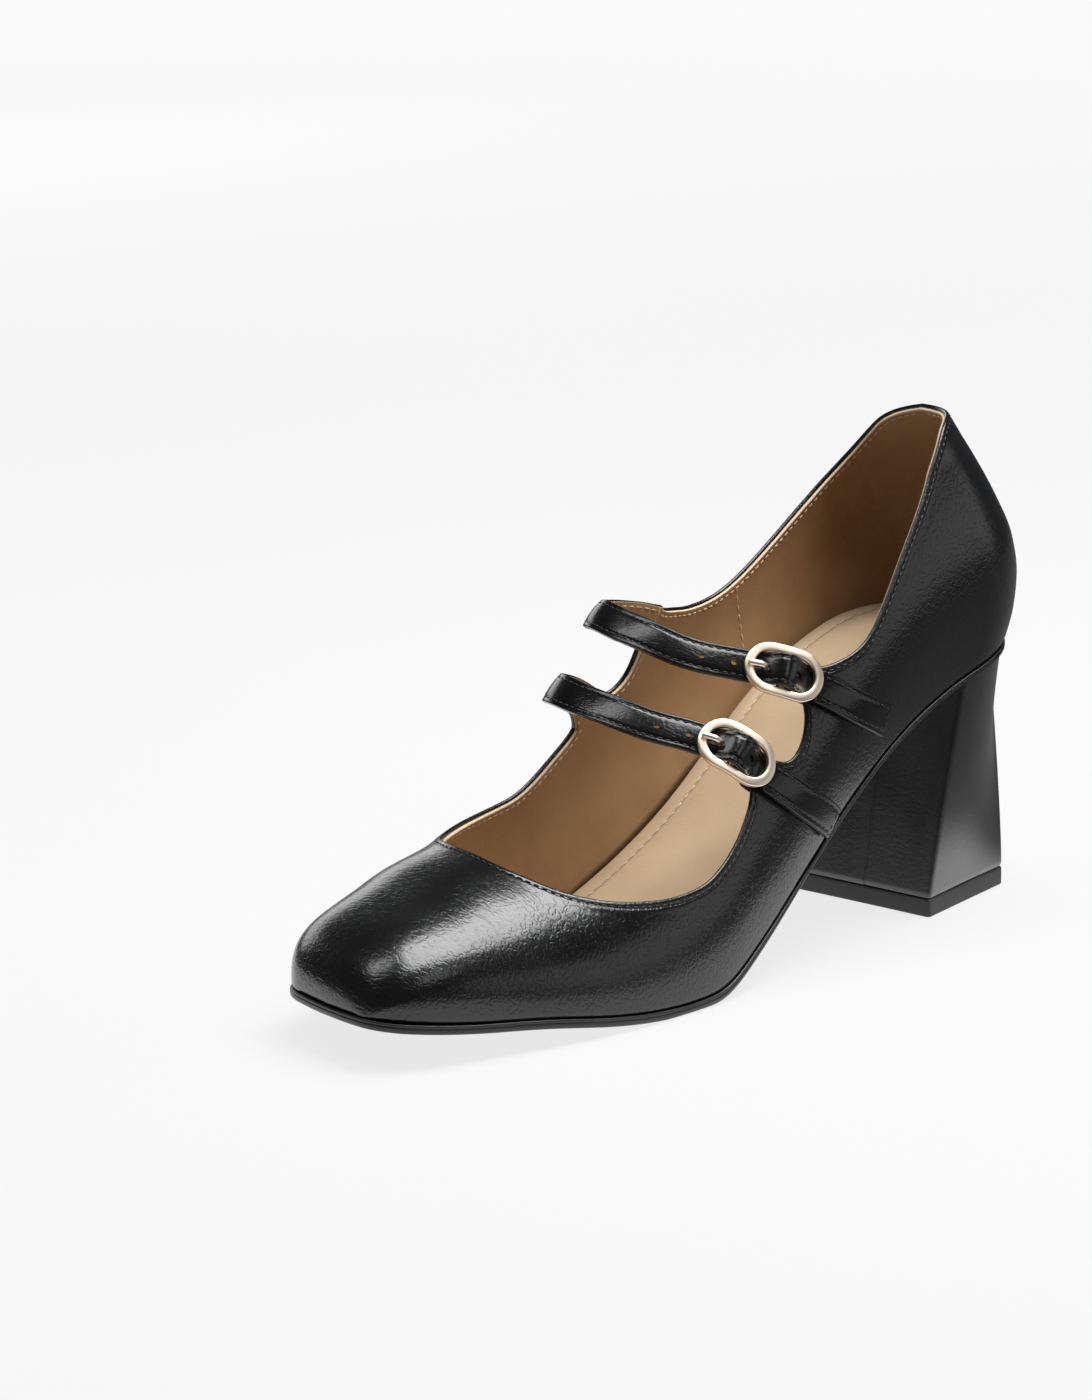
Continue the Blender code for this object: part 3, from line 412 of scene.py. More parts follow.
def make_mesh(name: str, points: np.ndarray, faces: list, smooth: bool = True) -> bpy.types.Object:
    """Mesh object from arrays, with its faces turned outwards.

    Args:
        name: Piece name.
        points: Points, one row each.
        faces: Arrays of face corners, each with three or four columns.
        smooth: Whether the faces are shaded smooth.

    Returns:
        The object, linked to the scene.
    """
    mesh = bpy.data.meshes.new(name)
    points = np.asarray(points, float).reshape(-1, 3)
    mesh.vertices.add(len(points))
    mesh.vertices.foreach_set("co", points.astype(np.float32).ravel())
    corners = np.concatenate([np.asarray(part, np.int32).ravel() for part in faces])
    totals = np.concatenate([np.full(len(part), np.asarray(part).shape[1], np.int32) for part in faces])
    starts = np.concatenate([[0], np.cumsum(totals)[:-1]]).astype(np.int32)
    mesh.loops.add(len(corners))
    mesh.loops.foreach_set("vertex_index", corners)
    mesh.polygons.add(len(totals))
    mesh.polygons.foreach_set("loop_start", starts)
    mesh.update(calc_edges=True)
    work = bmesh.new()
    work.from_mesh(mesh)
    bmesh.ops.remove_doubles(work, verts=work.verts, dist=1e-7)
    bmesh.ops.recalc_face_normals(work, faces=work.faces)
    work.to_mesh(mesh)
    work.free()
    mesh.polygons.foreach_set("use_smooth", np.full(len(mesh.polygons), smooth))
    mesh.update()
    piece = bpy.data.objects.new(name, mesh)
    bpy.context.scene.collection.objects.link(piece)
    return piece


def grid_quads(rows: int, columns: int, close_rows: bool = False, close_columns: bool = False,
               first: int = 0) -> np.ndarray:
    """Corners of the quads of a grid stored row by row.

    Args:
        rows: Count of rows.
        columns: Count of columns.
        close_rows: Whether the last row joins the first.
        close_columns: Whether the last column joins the first.
        first: Index of the grid's first point.

    Returns:
        Array of four corners for each quad.
    """
    i = np.arange(rows if close_rows else rows - 1)[:, None]
    j = np.arange(columns if close_columns else columns - 1)[None, :]
    below, after = (i + 1) % rows, (j + 1) % columns
    corners = [i * columns + j, i * columns + after, below * columns + after, below * columns + j]
    return np.stack([np.broadcast_to(c, (i.size, j.size)) for c in corners], axis=-1).reshape(-1, 4) + first


def tube(name: str, rings: np.ndarray, smooth: bool = True) -> bpy.types.Object:
    """Closed body from rings of points one after another, its two ends closed by fans.

    Args:
        name: Piece name.
        rings: Points as ring, place in the ring, coordinate.
        smooth: Whether the faces are shaded smooth.

    Returns:
        The mesh object.
    """
    count, around = rings.shape[:2]
    points = np.concatenate([rings.reshape(-1, 3), rings[:1].mean(axis=1), rings[-1:].mean(axis=1)])
    k = np.arange(around)
    nxt = (k + 1) % around
    size = count * around
    start = np.stack([np.full(around, size), nxt, k], axis=-1)
    end = np.stack([np.full(around, size + 1), size - around + k, size - around + nxt], axis=-1)
    return make_mesh(name, points, [grid_quads(count, around, False, True), start, end], smooth)


def sharpen(piece: bpy.types.Object, degrees: float = 40.0) -> bpy.types.Object:
    """Keep edges sharper than an angle crisp in the shading."""
    work = bmesh.new()
    work.from_mesh(piece.data)
    limit = math.radians(degrees)
    for edge in work.edges:
        if len(edge.link_faces) == 2 and edge.calc_face_angle(0.0) > limit:
            edge.smooth = False
    work.to_mesh(piece.data)
    work.free()
    return piece


@dataclass(frozen=True)
class Thread:
    """One sewing thread: its stitch length, gap and thickness."""

    stitch: float = 1.55 * MM
    pitch: float = 2.05 * MM
    thick: float = 0.20 * MM
    sink: float = 0.03 * MM

    def row(self, name: str, path: np.ndarray, normal: np.ndarray, closed: bool = False) -> bpy.types.Object:
        """A row of stitches along a path.

        Each stitch is a small long bead: across its length a circle whose radius falls off to the ends,
        and whose middle stands higher than its ends, as a thread does that dives into its holes.

        Args:
            name: Piece name.
            path: Points of the path on the surface.
            normal: Outward normals there.
            closed: Whether the path joins its own start.

        Returns:
            The mesh object.
        """
        if closed:
            path = np.concatenate([path, path[:1]])
            normal = np.concatenate([normal, normal[:1]])
        reach = run_lengths(path)
        count = max(int(reach[-1] / self.pitch), 1)
        centres = (np.arange(count) + 0.5) * reach[-1] / count
        along = np.linspace(-1.0, 1.0, 7)
        turns = np.linspace(0.0, 2.0 * np.pi, 6, endpoint=False)
        places = centres[:, None] + along[None, :] * self.stitch / 2.0
        line = np.stack([np.interp(places, reach, path[:, k]) for k in range(3)], axis=-1)
        up = unit(np.stack([np.interp(places, reach, normal[:, k]) for k in range(3)], axis=-1))
        ahead = unit(np.gradient(line, axis=1))
        side = unit(np.cross(up, ahead))
        radius = self.thick * (1.0 - np.abs(along) ** 3 * 0.65)
        height = self.thick * 0.55 * (1.0 - along**2) - self.sink
        base = line + up * height[None, :, None]
        ring = (side[:, :, None] * np.cos(turns)[None, None, :, None]
                + up[:, :, None] * np.sin(turns)[None, None, :, None])
        points = base[:, :, None] + ring * radius[None, :, None, None]
        size = len(along) * len(turns)
        quads = grid_quads(len(along), len(turns), False, True)
        k = np.arange(len(turns))
        caps = np.stack([k[:4] * 0, k[1:5], k[2:6] % 6], axis=-1)
        ends = caps + size - len(turns)
        shift = (np.arange(count) * size)[:, None, None]
        faces = [(quads[None] + shift).reshape(-1, 4), (caps[None] + shift).reshape(-1, 3),
                 (ends[None] + shift).reshape(-1, 3)]
        return make_mesh(name, points, faces)


# Finishes


class Tree:
    """Short way to fill a node tree."""

    def __init__(self, tree: bpy.types.NodeTree) -> None:
        """Keep the tree that the nodes go into."""
        self.tree = tree

    def add(self, kind: str, inputs: dict | None = None, **settings: object) -> bpy.types.Node:
        """Add a node.

        Args:
            kind: Node type name.
            inputs: Values or output sockets for its input sockets, by name or index.
            settings: Properties of the node.

        Returns:
            The node.
        """
        node = self.tree.nodes.new(kind)
        for key, value in settings.items():
            setattr(node, key, value)
        for key, value in (inputs or {}).items():
            if isinstance(value, bpy.types.NodeSocket):
                self.tree.links.new(value, node.inputs[key])
            else:
                node.inputs[key].default_value = value
        return node

    def math(self, operation: str, *values: object) -> bpy.types.NodeSocket:
        """Result of a Math node on numbers or sockets."""
        node = self.add("ShaderNodeMath", dict(enumerate(values)), operation=operation)
        return node.outputs[0]

    def mix(self, factor: object, first: object, second: object) -> bpy.types.NodeSocket:
        """Colour mixed between two by a factor."""
        node = self.add("ShaderNodeMix", data_type="RGBA")
        for index, value in ((0, factor), (6, first), (7, second)):
            if isinstance(value, bpy.types.NodeSocket):
                self.tree.links.new(value, node.inputs[index])
            else:
                node.inputs[index].default_value = value
        return node.outputs[2]

    def ramp(self, value: bpy.types.NodeSocket, low: float, high: float, to_low: float,
             to_high: float) -> bpy.types.NodeSocket:
        """A value moved smoothly from one range to another."""
        node = self.add("ShaderNodeMapRange", {"Value": value, "From Min": low, "From Max": high,
                                               "To Min": to_low, "To Max": to_high},
                        interpolation_type="SMOOTHSTEP")
        return node.outputs["Result"]


class Effects:
    """Shader node groups that several finishes share, each built once."""

    @staticmethod
    def group(name: str, inputs: dict,
              outputs: list) -> tuple[bpy.types.NodeTree, Tree, dict, bpy.types.Node]:
        """New group with float inputs and named outputs."""
        tree = bpy.data.node_groups.new(name, "ShaderNodeTree")
        for key, value in inputs.items():
            socket = tree.interface.new_socket(key, in_out="INPUT", socket_type="NodeSocketFloat")
            socket.default_value = value
        for key in outputs:
            tree.interface.new_socket(key, in_out="OUTPUT", socket_type="NodeSocketFloat")
        kit = Tree(tree)
        start = tree.nodes.new("NodeGroupInput")
        end = tree.nodes.new("NodeGroupOutput")
        return tree, kit, start.outputs, end

    @classmethod
    def grain(cls) -> bpy.types.NodeTree:
        """Leather grain: short wavy creases that run across, with a fine even tooth between them."""
        found = bpy.data.node_groups.get("leather_grain")
        if found:
            return found
        tree, kit, given, end = cls.group("leather_grain", {"Cells": 1300.0, "Crease": 0.5, "Drift": 90.0},
                                          ["Height", "Cloud"])
        place = kit.add("ShaderNodeTexCoord").outputs["Object"]
        drift = kit.add("ShaderNodeTexNoise", {"Vector": place, "Scale": 500.0, "Detail": 2.0})
        centred = kit.add("ShaderNodeVectorMath", {0: drift.outputs["Color"], 1: (0.5, 0.5, 0.5)},
                          operation="SUBTRACT")
        pulled = kit.add("ShaderNodeVectorMath", {0: centred.outputs[0], "Scale": 0.0014}, operation="SCALE")
        moved = kit.add("ShaderNodeVectorMath", {0: place, 1: pulled.outputs[0]}, operation="ADD")
        long_way = kit.add("ShaderNodeMapping", {"Vector": moved.outputs[0], "Scale": (0.36, 1.0, 1.0),
                                                 "Rotation": (0.0, 0.0, 0.5)})
        folds = kit.add("ShaderNodeTexNoise", {"Vector": long_way.outputs[0], "Scale": kit.math(
            "MULTIPLY", given["Cells"], 0.8), "Detail": 1.5, "Roughness": 0.45})
        ridge = kit.math("ABSOLUTE", kit.math("SUBTRACT", folds.outputs["Fac"], 0.5))
        crease = kit.ramp(ridge, 0.0, 0.12, 0.0, 1.0)
        tooth = kit.add("ShaderNodeTexNoise", {"Vector": moved.outputs[0], "Scale": kit.math(
            "MULTIPLY", given["Cells"], 2.2), "Detail": 2.0, "Roughness": 0.5})
        half_tooth = kit.math("MULTIPLY", tooth.outputs["Fac"], 0.5)
        height = kit.math("MULTIPLY_ADD", crease, given["Crease"], half_tooth)
        cloud = kit.add("ShaderNodeTexNoise", {"Vector": place, "Scale": given["Drift"], "Detail": 3.0})
        tree.links.new(height, end.inputs["Height"])
        tree.links.new(cloud.outputs["Fac"], end.inputs["Cloud"])
        return tree

    @classmethod
    def speck(cls) -> bpy.types.NodeTree:
        """Fine moulded or rubbed speckle with a slow cloud over it."""
        found = bpy.data.node_groups.get("fine_speckle")
        if found:
            return found
        tree, kit, given, end = cls.group("fine_speckle", {"Grit": 2600.0, "Drift": 70.0},
                                          ["Height", "Cloud"])
        place = kit.add("ShaderNodeTexCoord").outputs["Object"]
        grit = kit.add("ShaderNodeTexNoise", {"Vector": place, "Scale": given["Grit"], "Detail": 2.0})
        cloud = kit.add("ShaderNodeTexNoise", {"Vector": place, "Scale": given["Drift"], "Detail": 3.0})
        tree.links.new(grit.outputs["Fac"], end.inputs["Height"])
        tree.links.new(cloud.outputs["Fac"], end.inputs["Cloud"])
        return tree


@dataclass(frozen=True)
class Finish:
    """A finish from one shared effect: two colours, a range of roughness and the depth of its relief."""

    name: str
    dark: tuple
    light: tuple
    roughness: tuple = (0.3, 0.4)
    depth: float = 0.00005
    strength: float = 0.6
    cells: float = 1300.0
    crease: float = 0.5
    drift: float = 90.0
    metallic: float = 0.0
    coat: float = 0.0
    coat_roughness: float = 0.1
    specular: float = 0.5
    sheen: float = 0.0
    rim: tuple | None = None
    grain: bool = True

    def material(self) -> bpy.types.Material:
        """The finish as a material, built once."""
        found = bpy.data.materials.get(self.name)
        if found:
            return found
        material = bpy.data.materials.new(self.name)
        material.use_nodes = True
        kit = Tree(material.node_tree)
        shader = material.node_tree.nodes["Principled BSDF"]
        effect = kit.add("ShaderNodeGroup", node_tree=Effects.grain() if self.grain else Effects.speck())
        effect.inputs["Cells" if self.grain else "Grit"].default_value = self.cells
        effect.inputs["Drift"].default_value = self.drift
        if self.grain:
            effect.inputs["Crease"].default_value = self.crease
        cloud, height = effect.outputs["Cloud"], effect.outputs["Height"]
        colour = kit.mix(kit.ramp(cloud, 0.3, 0.7, 0.0, 1.0), (*self.dark, 1.0), (*self.light, 1.0))
        if self.rim:
            edge = kit.add("ShaderNodeAttribute", attribute_name="rim")
            colour = kit.mix(edge.outputs["Fac"], colour, (*self.rim, 1.0))
        material.node_tree.links.new(colour, shader.inputs["Base Color"])
        rough = kit.ramp(cloud, 0.25, 0.75, *self.roughness)
        material.node_tree.links.new(rough, shader.inputs["Roughness"])
        relief = kit.add("ShaderNodeBump", {"Height": height, "Strength": self.strength,
                                            "Distance": self.depth})
        material.node_tree.links.new(relief.outputs["Normal"], shader.inputs["Normal"])
        shader.inputs["Metallic"].default_value = self.metallic
        shader.inputs["Coat Weight"].default_value = self.coat
        shader.inputs["Coat Roughness"].default_value = self.coat_roughness
        shader.inputs["Specular IOR Level"].default_value = self.specular
        shader.inputs["Sheen Weight"].default_value = self.sheen
        return material


UPPER_LEATHER = Finish("upper_leather_black", (0.0030, 0.0030, 0.0032), (0.0045, 0.0045, 0.0048),
                       roughness=(0.21, 0.25), depth=0.00008, strength=0.5, cells=850.0, crease=0.7,
                       specular=0.5, coat=0.10, coat_roughness=0.12)
STRAP_LEATHER = Finish("strap_leather_black", (0.0025, 0.0025, 0.0027), (0.0040, 0.0040, 0.0042),
                       roughness=(0.17, 0.22), depth=0.00005, strength=0.5, cells=1200.0, specular=0.4,
                       coat=0.08, coat_roughness=0.08)
HEEL_LEATHER = Finish("heel_wrap_black", (0.004, 0.004, 0.0045), (0.007, 0.007, 0.0078),
                      roughness=(0.27, 0.38), depth=0.00005, strength=0.5, cells=900.0, crease=0.4,
                      specular=0.7, coat=0.5, coat_roughness=0.20, drift=60.0)
LINING_LEATHER = Finish("lining_leather_tan", (0.355, 0.202, 0.095), (0.40, 0.235, 0.113),
                        roughness=(0.46, 0.56), depth=0.00004, strength=0.5, cells=1700.0,
                        rim=(0.76, 0.57, 0.38), specular=0.4)
SOCK_LEATHER = Finish("sock_leather_tan", (0.50, 0.368, 0.228), (0.53, 0.393, 0.248),
                      roughness=(0.44, 0.55), depth=0.00004, strength=0.5, cells=1500.0,
                      rim=(0.20, 0.19, 0.18), specular=0.4)
STRAP_LINING = Finish("strap_lining_tan", (0.34, 0.19, 0.09), (0.42, 0.245, 0.12), roughness=(0.45, 0.55),
                      depth=0.00003, cells=1700.0)
BLACK_THREAD = Finish("thread_black", (0.010, 0.010, 0.010), (0.018, 0.018, 0.018), roughness=(0.35, 0.5),
                      depth=0.00003, cells=5200.0, drift=900.0, grain=False)
TAN_THREAD = Finish("thread_tan", (0.62, 0.44, 0.27), (0.76, 0.58, 0.40), roughness=(0.5, 0.65),
                    depth=0.00003, cells=5200.0, drift=900.0, grain=False)
SOLE_RUBBER = Finish("sole_edge_black", (0.005, 0.005, 0.005), (0.009, 0.009, 0.009), roughness=(0.34, 0.46),
                     depth=0.00003, cells=1900.0, grain=False)
LIFT_RUBBER = Finish("lift_rubber_dark", (0.016, 0.016, 0.017), (0.026, 0.026, 0.027),
                     roughness=(0.55, 0.68), depth=0.00004, cells=2600.0, grain=False)
GOLD_PLATE = Finish("pale_gold_plate", (0.93, 0.76, 0.60), (0.96, 0.81, 0.66), roughness=(0.30, 0.35),
                    depth=0.0000005, strength=0.2, cells=2400.0, metallic=1.0, grain=False)
ELASTIC_CLOTH = Finish("elastic_black", (0.008, 0.008, 0.008), (0.018, 0.018, 0.018), roughness=(0.7, 0.85),
                       depth=0.00006, cells=3600.0, drift=700.0, sheen=0.2, grain=False)


def dress(piece: bpy.types.Object, finish: Finish, slot: Slot, *nodes: str) -> bpy.types.Object:
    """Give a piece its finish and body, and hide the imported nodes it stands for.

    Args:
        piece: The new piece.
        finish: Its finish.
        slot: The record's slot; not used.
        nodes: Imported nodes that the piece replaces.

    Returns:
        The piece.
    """
    piece.data.materials.clear()
    piece.data.materials.append(finish.material())
    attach(piece, BODY)
    if nodes:
        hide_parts(*nodes)
    LOG.info("%s: %d faces", piece.name, len(piece.data.polygons))
    return piece


def paint_rim(piece: bpy.types.Object, values: np.ndarray) -> None:
    """Store how far each point belongs to the cut rim, for the finish to read."""
    layer = piece.data.attributes.new("rim", "FLOAT", "POINT")
    layer.data.foreach_set("value", np.asarray(values, np.float32))


# Upper


@dataclass
class Upper:
    """Black leather shell with its lining, its rim and its rows of sewing."""

    leather: float = 1.1 * MM
    step: float = 1.0 * MM
    stitch_in: float = 1.45 * MM
    line: Topline = field(default_factory=Topline)

    def build(self) -> None:
        """Make every piece of the upper."""
        self.shell()
        self.lining()
        self.sewing()
        self.quarter_seam()

    def shell(self) -> None:
        """Leather shell: up the outside, over the rounded edge, down the inside and back under.

        The edge is half a circle as wide as the leather. The sewn row presses a soft furrow into the
        leather, with a low roll between it and the edge.
        """
        shares = np.concatenate([[0.0, 0.004, 0.012, 0.024], np.linspace(0.04, 0.90, 66),
                                 np.linspace(0.91, 1.0, 16)])
        wall = self.line.wall(self.step, shares)
        below = wall.from_top()
        outer = wall.lowered(self.leather / 2.0, 4.0 * MM)
        relief = (0.10 * MM * bump(below, 0.55 * MM, 0.6 * MM)
                  - 0.13 * MM * bump(below, self.stitch_in, 0.42 * MM)
                  + 0.05 * MM * bump(below, 2.5 * MM, 0.8 * MM))
        tuck = 0.35 * MM * np.clip(1.0 - shares / 0.024, 0.0, 1.0)[:, None] ** 2
        outer = outer + wall.normal * (relief - tuck)[..., None]
        turns = np.linspace(0.0, np.pi, 9)[1:-1]
        middle = outer[-1] - wall.normal[-1] * self.leather / 2.0
        edge = (middle[None] + wall.normal[-1][None] * (np.cos(turns) * self.leather / 2.0)[:, None, None]
                - wall.down[None] * (np.sin(turns) * self.leather / 2.0)[:, None, None])
        inside = wall.inset(self.leather)[::-1]
        pull = wall.lowered(self.leather / 2.0, 4.0 * MM)[::-1] - wall.skin[::-1]
        inner = (inside + pull)[::5]
        inner = np.concatenate([inner, inside[-1:]]) if (len(inside) - 1) % 5 else inner
        rings = np.concatenate([outer, edge, inner])
        piece = make_mesh("upper_shell", rings, [grid_quads(len(rings), rings.shape[1], True, True)])
        dress(piece, UPPER_LEATHER, Slot.UPPER, "upper")

    def lining(self) -> None:
        """Tan lining on the inside of the leather, trimmed just under the edge, its cut rim paler."""
        shares = np.concatenate([[0.0, 0.01], np.linspace(0.03, 0.94, 44), np.linspace(0.955, 1.0, 9)])
        wall = self.line.wall(1.3 * MM, shares)
        below = wall.from_top()
        pull = wall.down[None] * (0.55 * MM * np.clip(1.0 - below / (4.0 * MM), 0.0, 1.0) ** 1.5)[..., None]
        dent = 0.10 * MM * bump(below, self.stitch_in + 0.3 * MM, 0.45 * MM)
        face = wall.inset(LAST.wall) + pull + wall.normal * dent[..., None]
        hidden = wall.inset(self.leather - 0.02 * MM) + pull
        back = hidden[::6]
        if (len(shares) - 1) % 6:
            back = np.concatenate([back, hidden[-1:]])
        rings = np.concatenate([face, back[::-1]])
        piece = make_mesh("upper_lining", rings, [grid_quads(len(rings), rings.shape[1], True, True)])
        dress(piece, LINING_LEATHER, Slot.SOCK)
        top_rows = len(face) - 1
        rim = np.zeros(rings.shape[:2])
        rim[top_rows - 1:top_rows + 2] = 1.0
        rim[top_rows - 2] = 0.5
        if rim.size == len(piece.data.vertices):
            paint_rim(piece, rim.ravel())
        else:
            raise ValueError("the lining's points were merged, so its rim can't be painted")

    def rows(self, inset: float, depth: float) -> list[tuple[np.ndarray, np.ndarray]]:
        """Sewing lines along the edge, one for each smooth run.

        Args:
            inset: Distance from the edge.
            depth: Depth below the outer skin.

        Returns:
            Points and outward normals of each line.
        """
        wall = self.line.wall(0.5 * MM, np.linspace(0.0, 1.0, 60))
        _, _, run = self.line.loop(0.5 * MM)
        path = wall.skin[-1] + wall.down * inset - wall.normal[-1] * depth
        lines = []
        for index in (0, 2, 4, 6, 8):
            chosen = np.flatnonzero(run == index)[3:-3]
            lines.append((path[chosen], wall.normal[-1][chosen]))
        return lines

    def sewing(self) -> None:
        """Black row round the outside of the edge, and its tan row on the lining."""
        thread = Thread()
        for count, (path, normal) in enumerate(self.rows(self.stitch_in, 0.10 * MM)):
            dress(thread.row(f"edge_sewing_{count}", path, normal), BLACK_THREAD, Slot.UPPER)
        for count, (path, normal) in enumerate(self.rows(self.stitch_in + 0.3 * MM, LAST.wall - 0.02 * MM)):
            dress(thread.row(f"lining_sewing_{count}", path, -normal), TAN_THREAD, Slot.SOCK)

    def quarter_seam(self) -> None:
        """Sewn seam of the lining inside the inner heel quarter, from the edge down to the sock."""
        around = np.linspace(-0.80, -0.955, 60)
        along = 0.262 + 0.012 * np.sin((around + 0.80) * 9.0)
        middle = LAST.surface(along, around)
        ahead = LAST.surface(along + 0.002, around) - LAST.surface(along - 0.002, around)
        turn = LAST.surface(along, around + 0.01) - LAST.surface(along, around - 0.01)
        normal = unit(np.cross(ahead, turn))
        thread = Thread(stitch=1.7 * MM, pitch=2.4 * MM)
        piece = thread.row("quarter_seam", middle - normal * (LAST.wall - 0.02 * MM), -normal)
        dress(piece, TAN_THREAD, Slot.SOCK)


# Bottom


@dataclass
class Slab:
    """Flat layer with the last's outline and a shaped rim.

    The outline runs along the outer side, round the bowed toe and back along the inner side. Rings of it
    step in along its own flat normal, and the field inside is filled across, station by station.
    """

    margin: float
    stations: int = 150
    front: int = 36

    def outline(self) -> tuple[np.ndarray, np.ndarray]:
        """Outline points, x and y, and their outward flat normals."""
        place = 0.0008 + Topline.share(np.linspace(0.0, 1.0, self.stations + 1)) * (1.0 - 0.0008)
        right = LAST.half_width(place, 1)
        left = -LAST.half_width(place, -1)
        across = np.linspace(right[-1], left[-1], self.front + 1)[1:-1]
        behind = np.linspace(left[0], right[0], self.front + 1)[1:-1]
        x = np.concatenate([right, across, left[::-1], behind])
        along = np.concatenate([place, np.ones(len(across)), place[::-1],
                                place[0] * (behind / right[0]) ** 2])
        y = LAST.back_y - along * LAST.length - LAST.bow(x, along)
        flat = np.stack([x, y], axis=-1)
        ahead = unit(np.roll(flat, -1, axis=0) - np.roll(flat, 1, axis=0))
        normal = np.stack([-ahead[:, 1], ahead[:, 0]], axis=-1)
        for _ in range(6):
            normal = unit(np.roll(normal, 1, axis=0) + 2.0 * normal + np.roll(normal, -1, axis=0))
        return flat, normal

    def ring(self, flat: np.ndarray, normal: np.ndarray, out: float) -> np.ndarray:
        """Outline moved out by the layer's own margin and a further distance."""
        share = (LAST.back_y - flat[:, 1]) / LAST.length
        return flat + normal * (self.margin_at(share) + out)[:, None]

    def margin_at(self, share: np.ndarray) -> np.ndarray:
        """How far the layer's edge stands out of the feather."""
        return self.margin + 0.0 * share

    def field(self, ring: np.ndarray) -> np.ndarray:
        """Points across the inside of a ring, station by station, as a grid."""
        count = self.stations + 1
        right, left = ring[:count], ring[count + self.front - 1:2 * count + self.front - 1][::-1]
        lane = np.linspace(0.0, 1.0, self.front + 1)
        grid = right[:, None] + (left - right)[:, None] * lane[None, :, None]
        front = ring[count - 1:count + self.front]
        behind = np.concatenate([ring[2 * count + self.front - 2:], ring[:1]])[::-1]
        place = np.arange(count)[:, None, None] / (count - 1.0)
        ahead = (front - grid[-1])[None] * ease((place - 0.8) / 0.2)
        back = (behind - grid[0])[None] * ease((0.2 - place) / 0.2)
        return grid + ahead + back

    def body(self, name: str, rim: np.ndarray, top: object, bottom: object) -> bpy.types.Object:
        """The layer as one closed body.

        Args:
            name: Piece name.
            rim: Rows of how far out of the edge and the share down from top to bottom.
            top: Function of x and y giving the upper side's height.
            bottom: Function of x and y giving the lower side's height.

        Returns:
            The mesh object.
        """
        flat, normal = self.outline()
        rings = []
        for out, down in rim:
            ring = self.ring(flat, normal, out)
            high, low = top(ring[:, 0], ring[:, 1]), bottom(ring[:, 0], ring[:, 1])
            rings.append(np.column_stack([ring, high + (low - high) * down]))
        rings = np.array(rings)
        upper = self.field(rings[0][:, :2])
        lower = self.field(rings[-1][:, :2])
        upper = np.concatenate([upper, top(upper[..., 0], upper[..., 1])[..., None]], axis=-1)
        lower = np.concatenate([lower, bottom(lower[..., 0], lower[..., 1])[..., None]], axis=-1)
        rows, columns = upper.shape[:2]
        size = rings[0].shape[0] * len(rings)
        points = np.concatenate([rings.reshape(-1, 3), upper.reshape(-1, 3), lower.reshape(-1, 3)])
        faces = [grid_quads(len(rings), rings.shape[1], False, True),
                 grid_quads(rows, columns, first=size),
                 grid_quads(rows, columns, first=size + rows * columns)]
        return make_mesh(name, points, faces)


@dataclass
class Outsole(Slab):
    """Black outsole: full under the forefoot, thin at the waist and under the heel seat."""

    margin: float = 0.0
    gap: float = 0.25 * MM
    thick: float = 2.25 * MM
    waist: float = 1.6 * MM
    margin_toe: float = 0.4 * MM
    margin_waist: float = 0.2 * MM

    def margin_at(self, share: np.ndarray) -> np.ndarray:
        """How far the sole's edge stands out of the feather line."""
        return self.margin_waist + (self.margin_toe - self.margin_waist) * ease((share - 0.45) / 0.15)

    def thickness(self, share: np.ndarray) -> np.ndarray:
        """Thickness of the sole at a share along."""
        return self.waist + (self.thick - self.waist) * ease((share - 0.42) / 0.16)

    def top(self, x: np.ndarray, y: np.ndarray) -> np.ndarray:
        """Height of the upper side."""
        return LAST.feather_height(LAST.share_at(x, y)) - self.gap

    def bottom(self, x: np.ndarray, y: np.ndarray) -> np.ndarray:
        """Height of the lower side, flat on the floor under the ball."""
        share = LAST.share_at(x, y)
        return np.maximum(LAST.feather_height(share) - self.gap - self.thickness(share), 0.0)

    def build(self) -> None:
        """Sole with a rounded upper lip, a fine groove under it and a rounded lower edge."""
        rim = np.array([(-3.0, 0.0), (-0.8, 0.0), (-0.35, 0.01), (-0.10, 0.05), (0.0, 0.14), (0.02, 0.24),
                        (-0.03, 0.30), (-0.14, 0.335), (-0.14, 0.365), (-0.03, 0.40), (0.02, 0.48),
                        (0.02, 0.62), (-0.02, 0.76), (-0.12, 0.88), (-0.32, 0.96), (-0.7, 1.0), (-3.0, 1.0)])
        rim[:, 0] *= MM
        piece = self.body("outsole_edge", rim, self.top, self.bottom)
        dress(piece, SOLE_RUBBER, Slot.SOLE, "outsole")


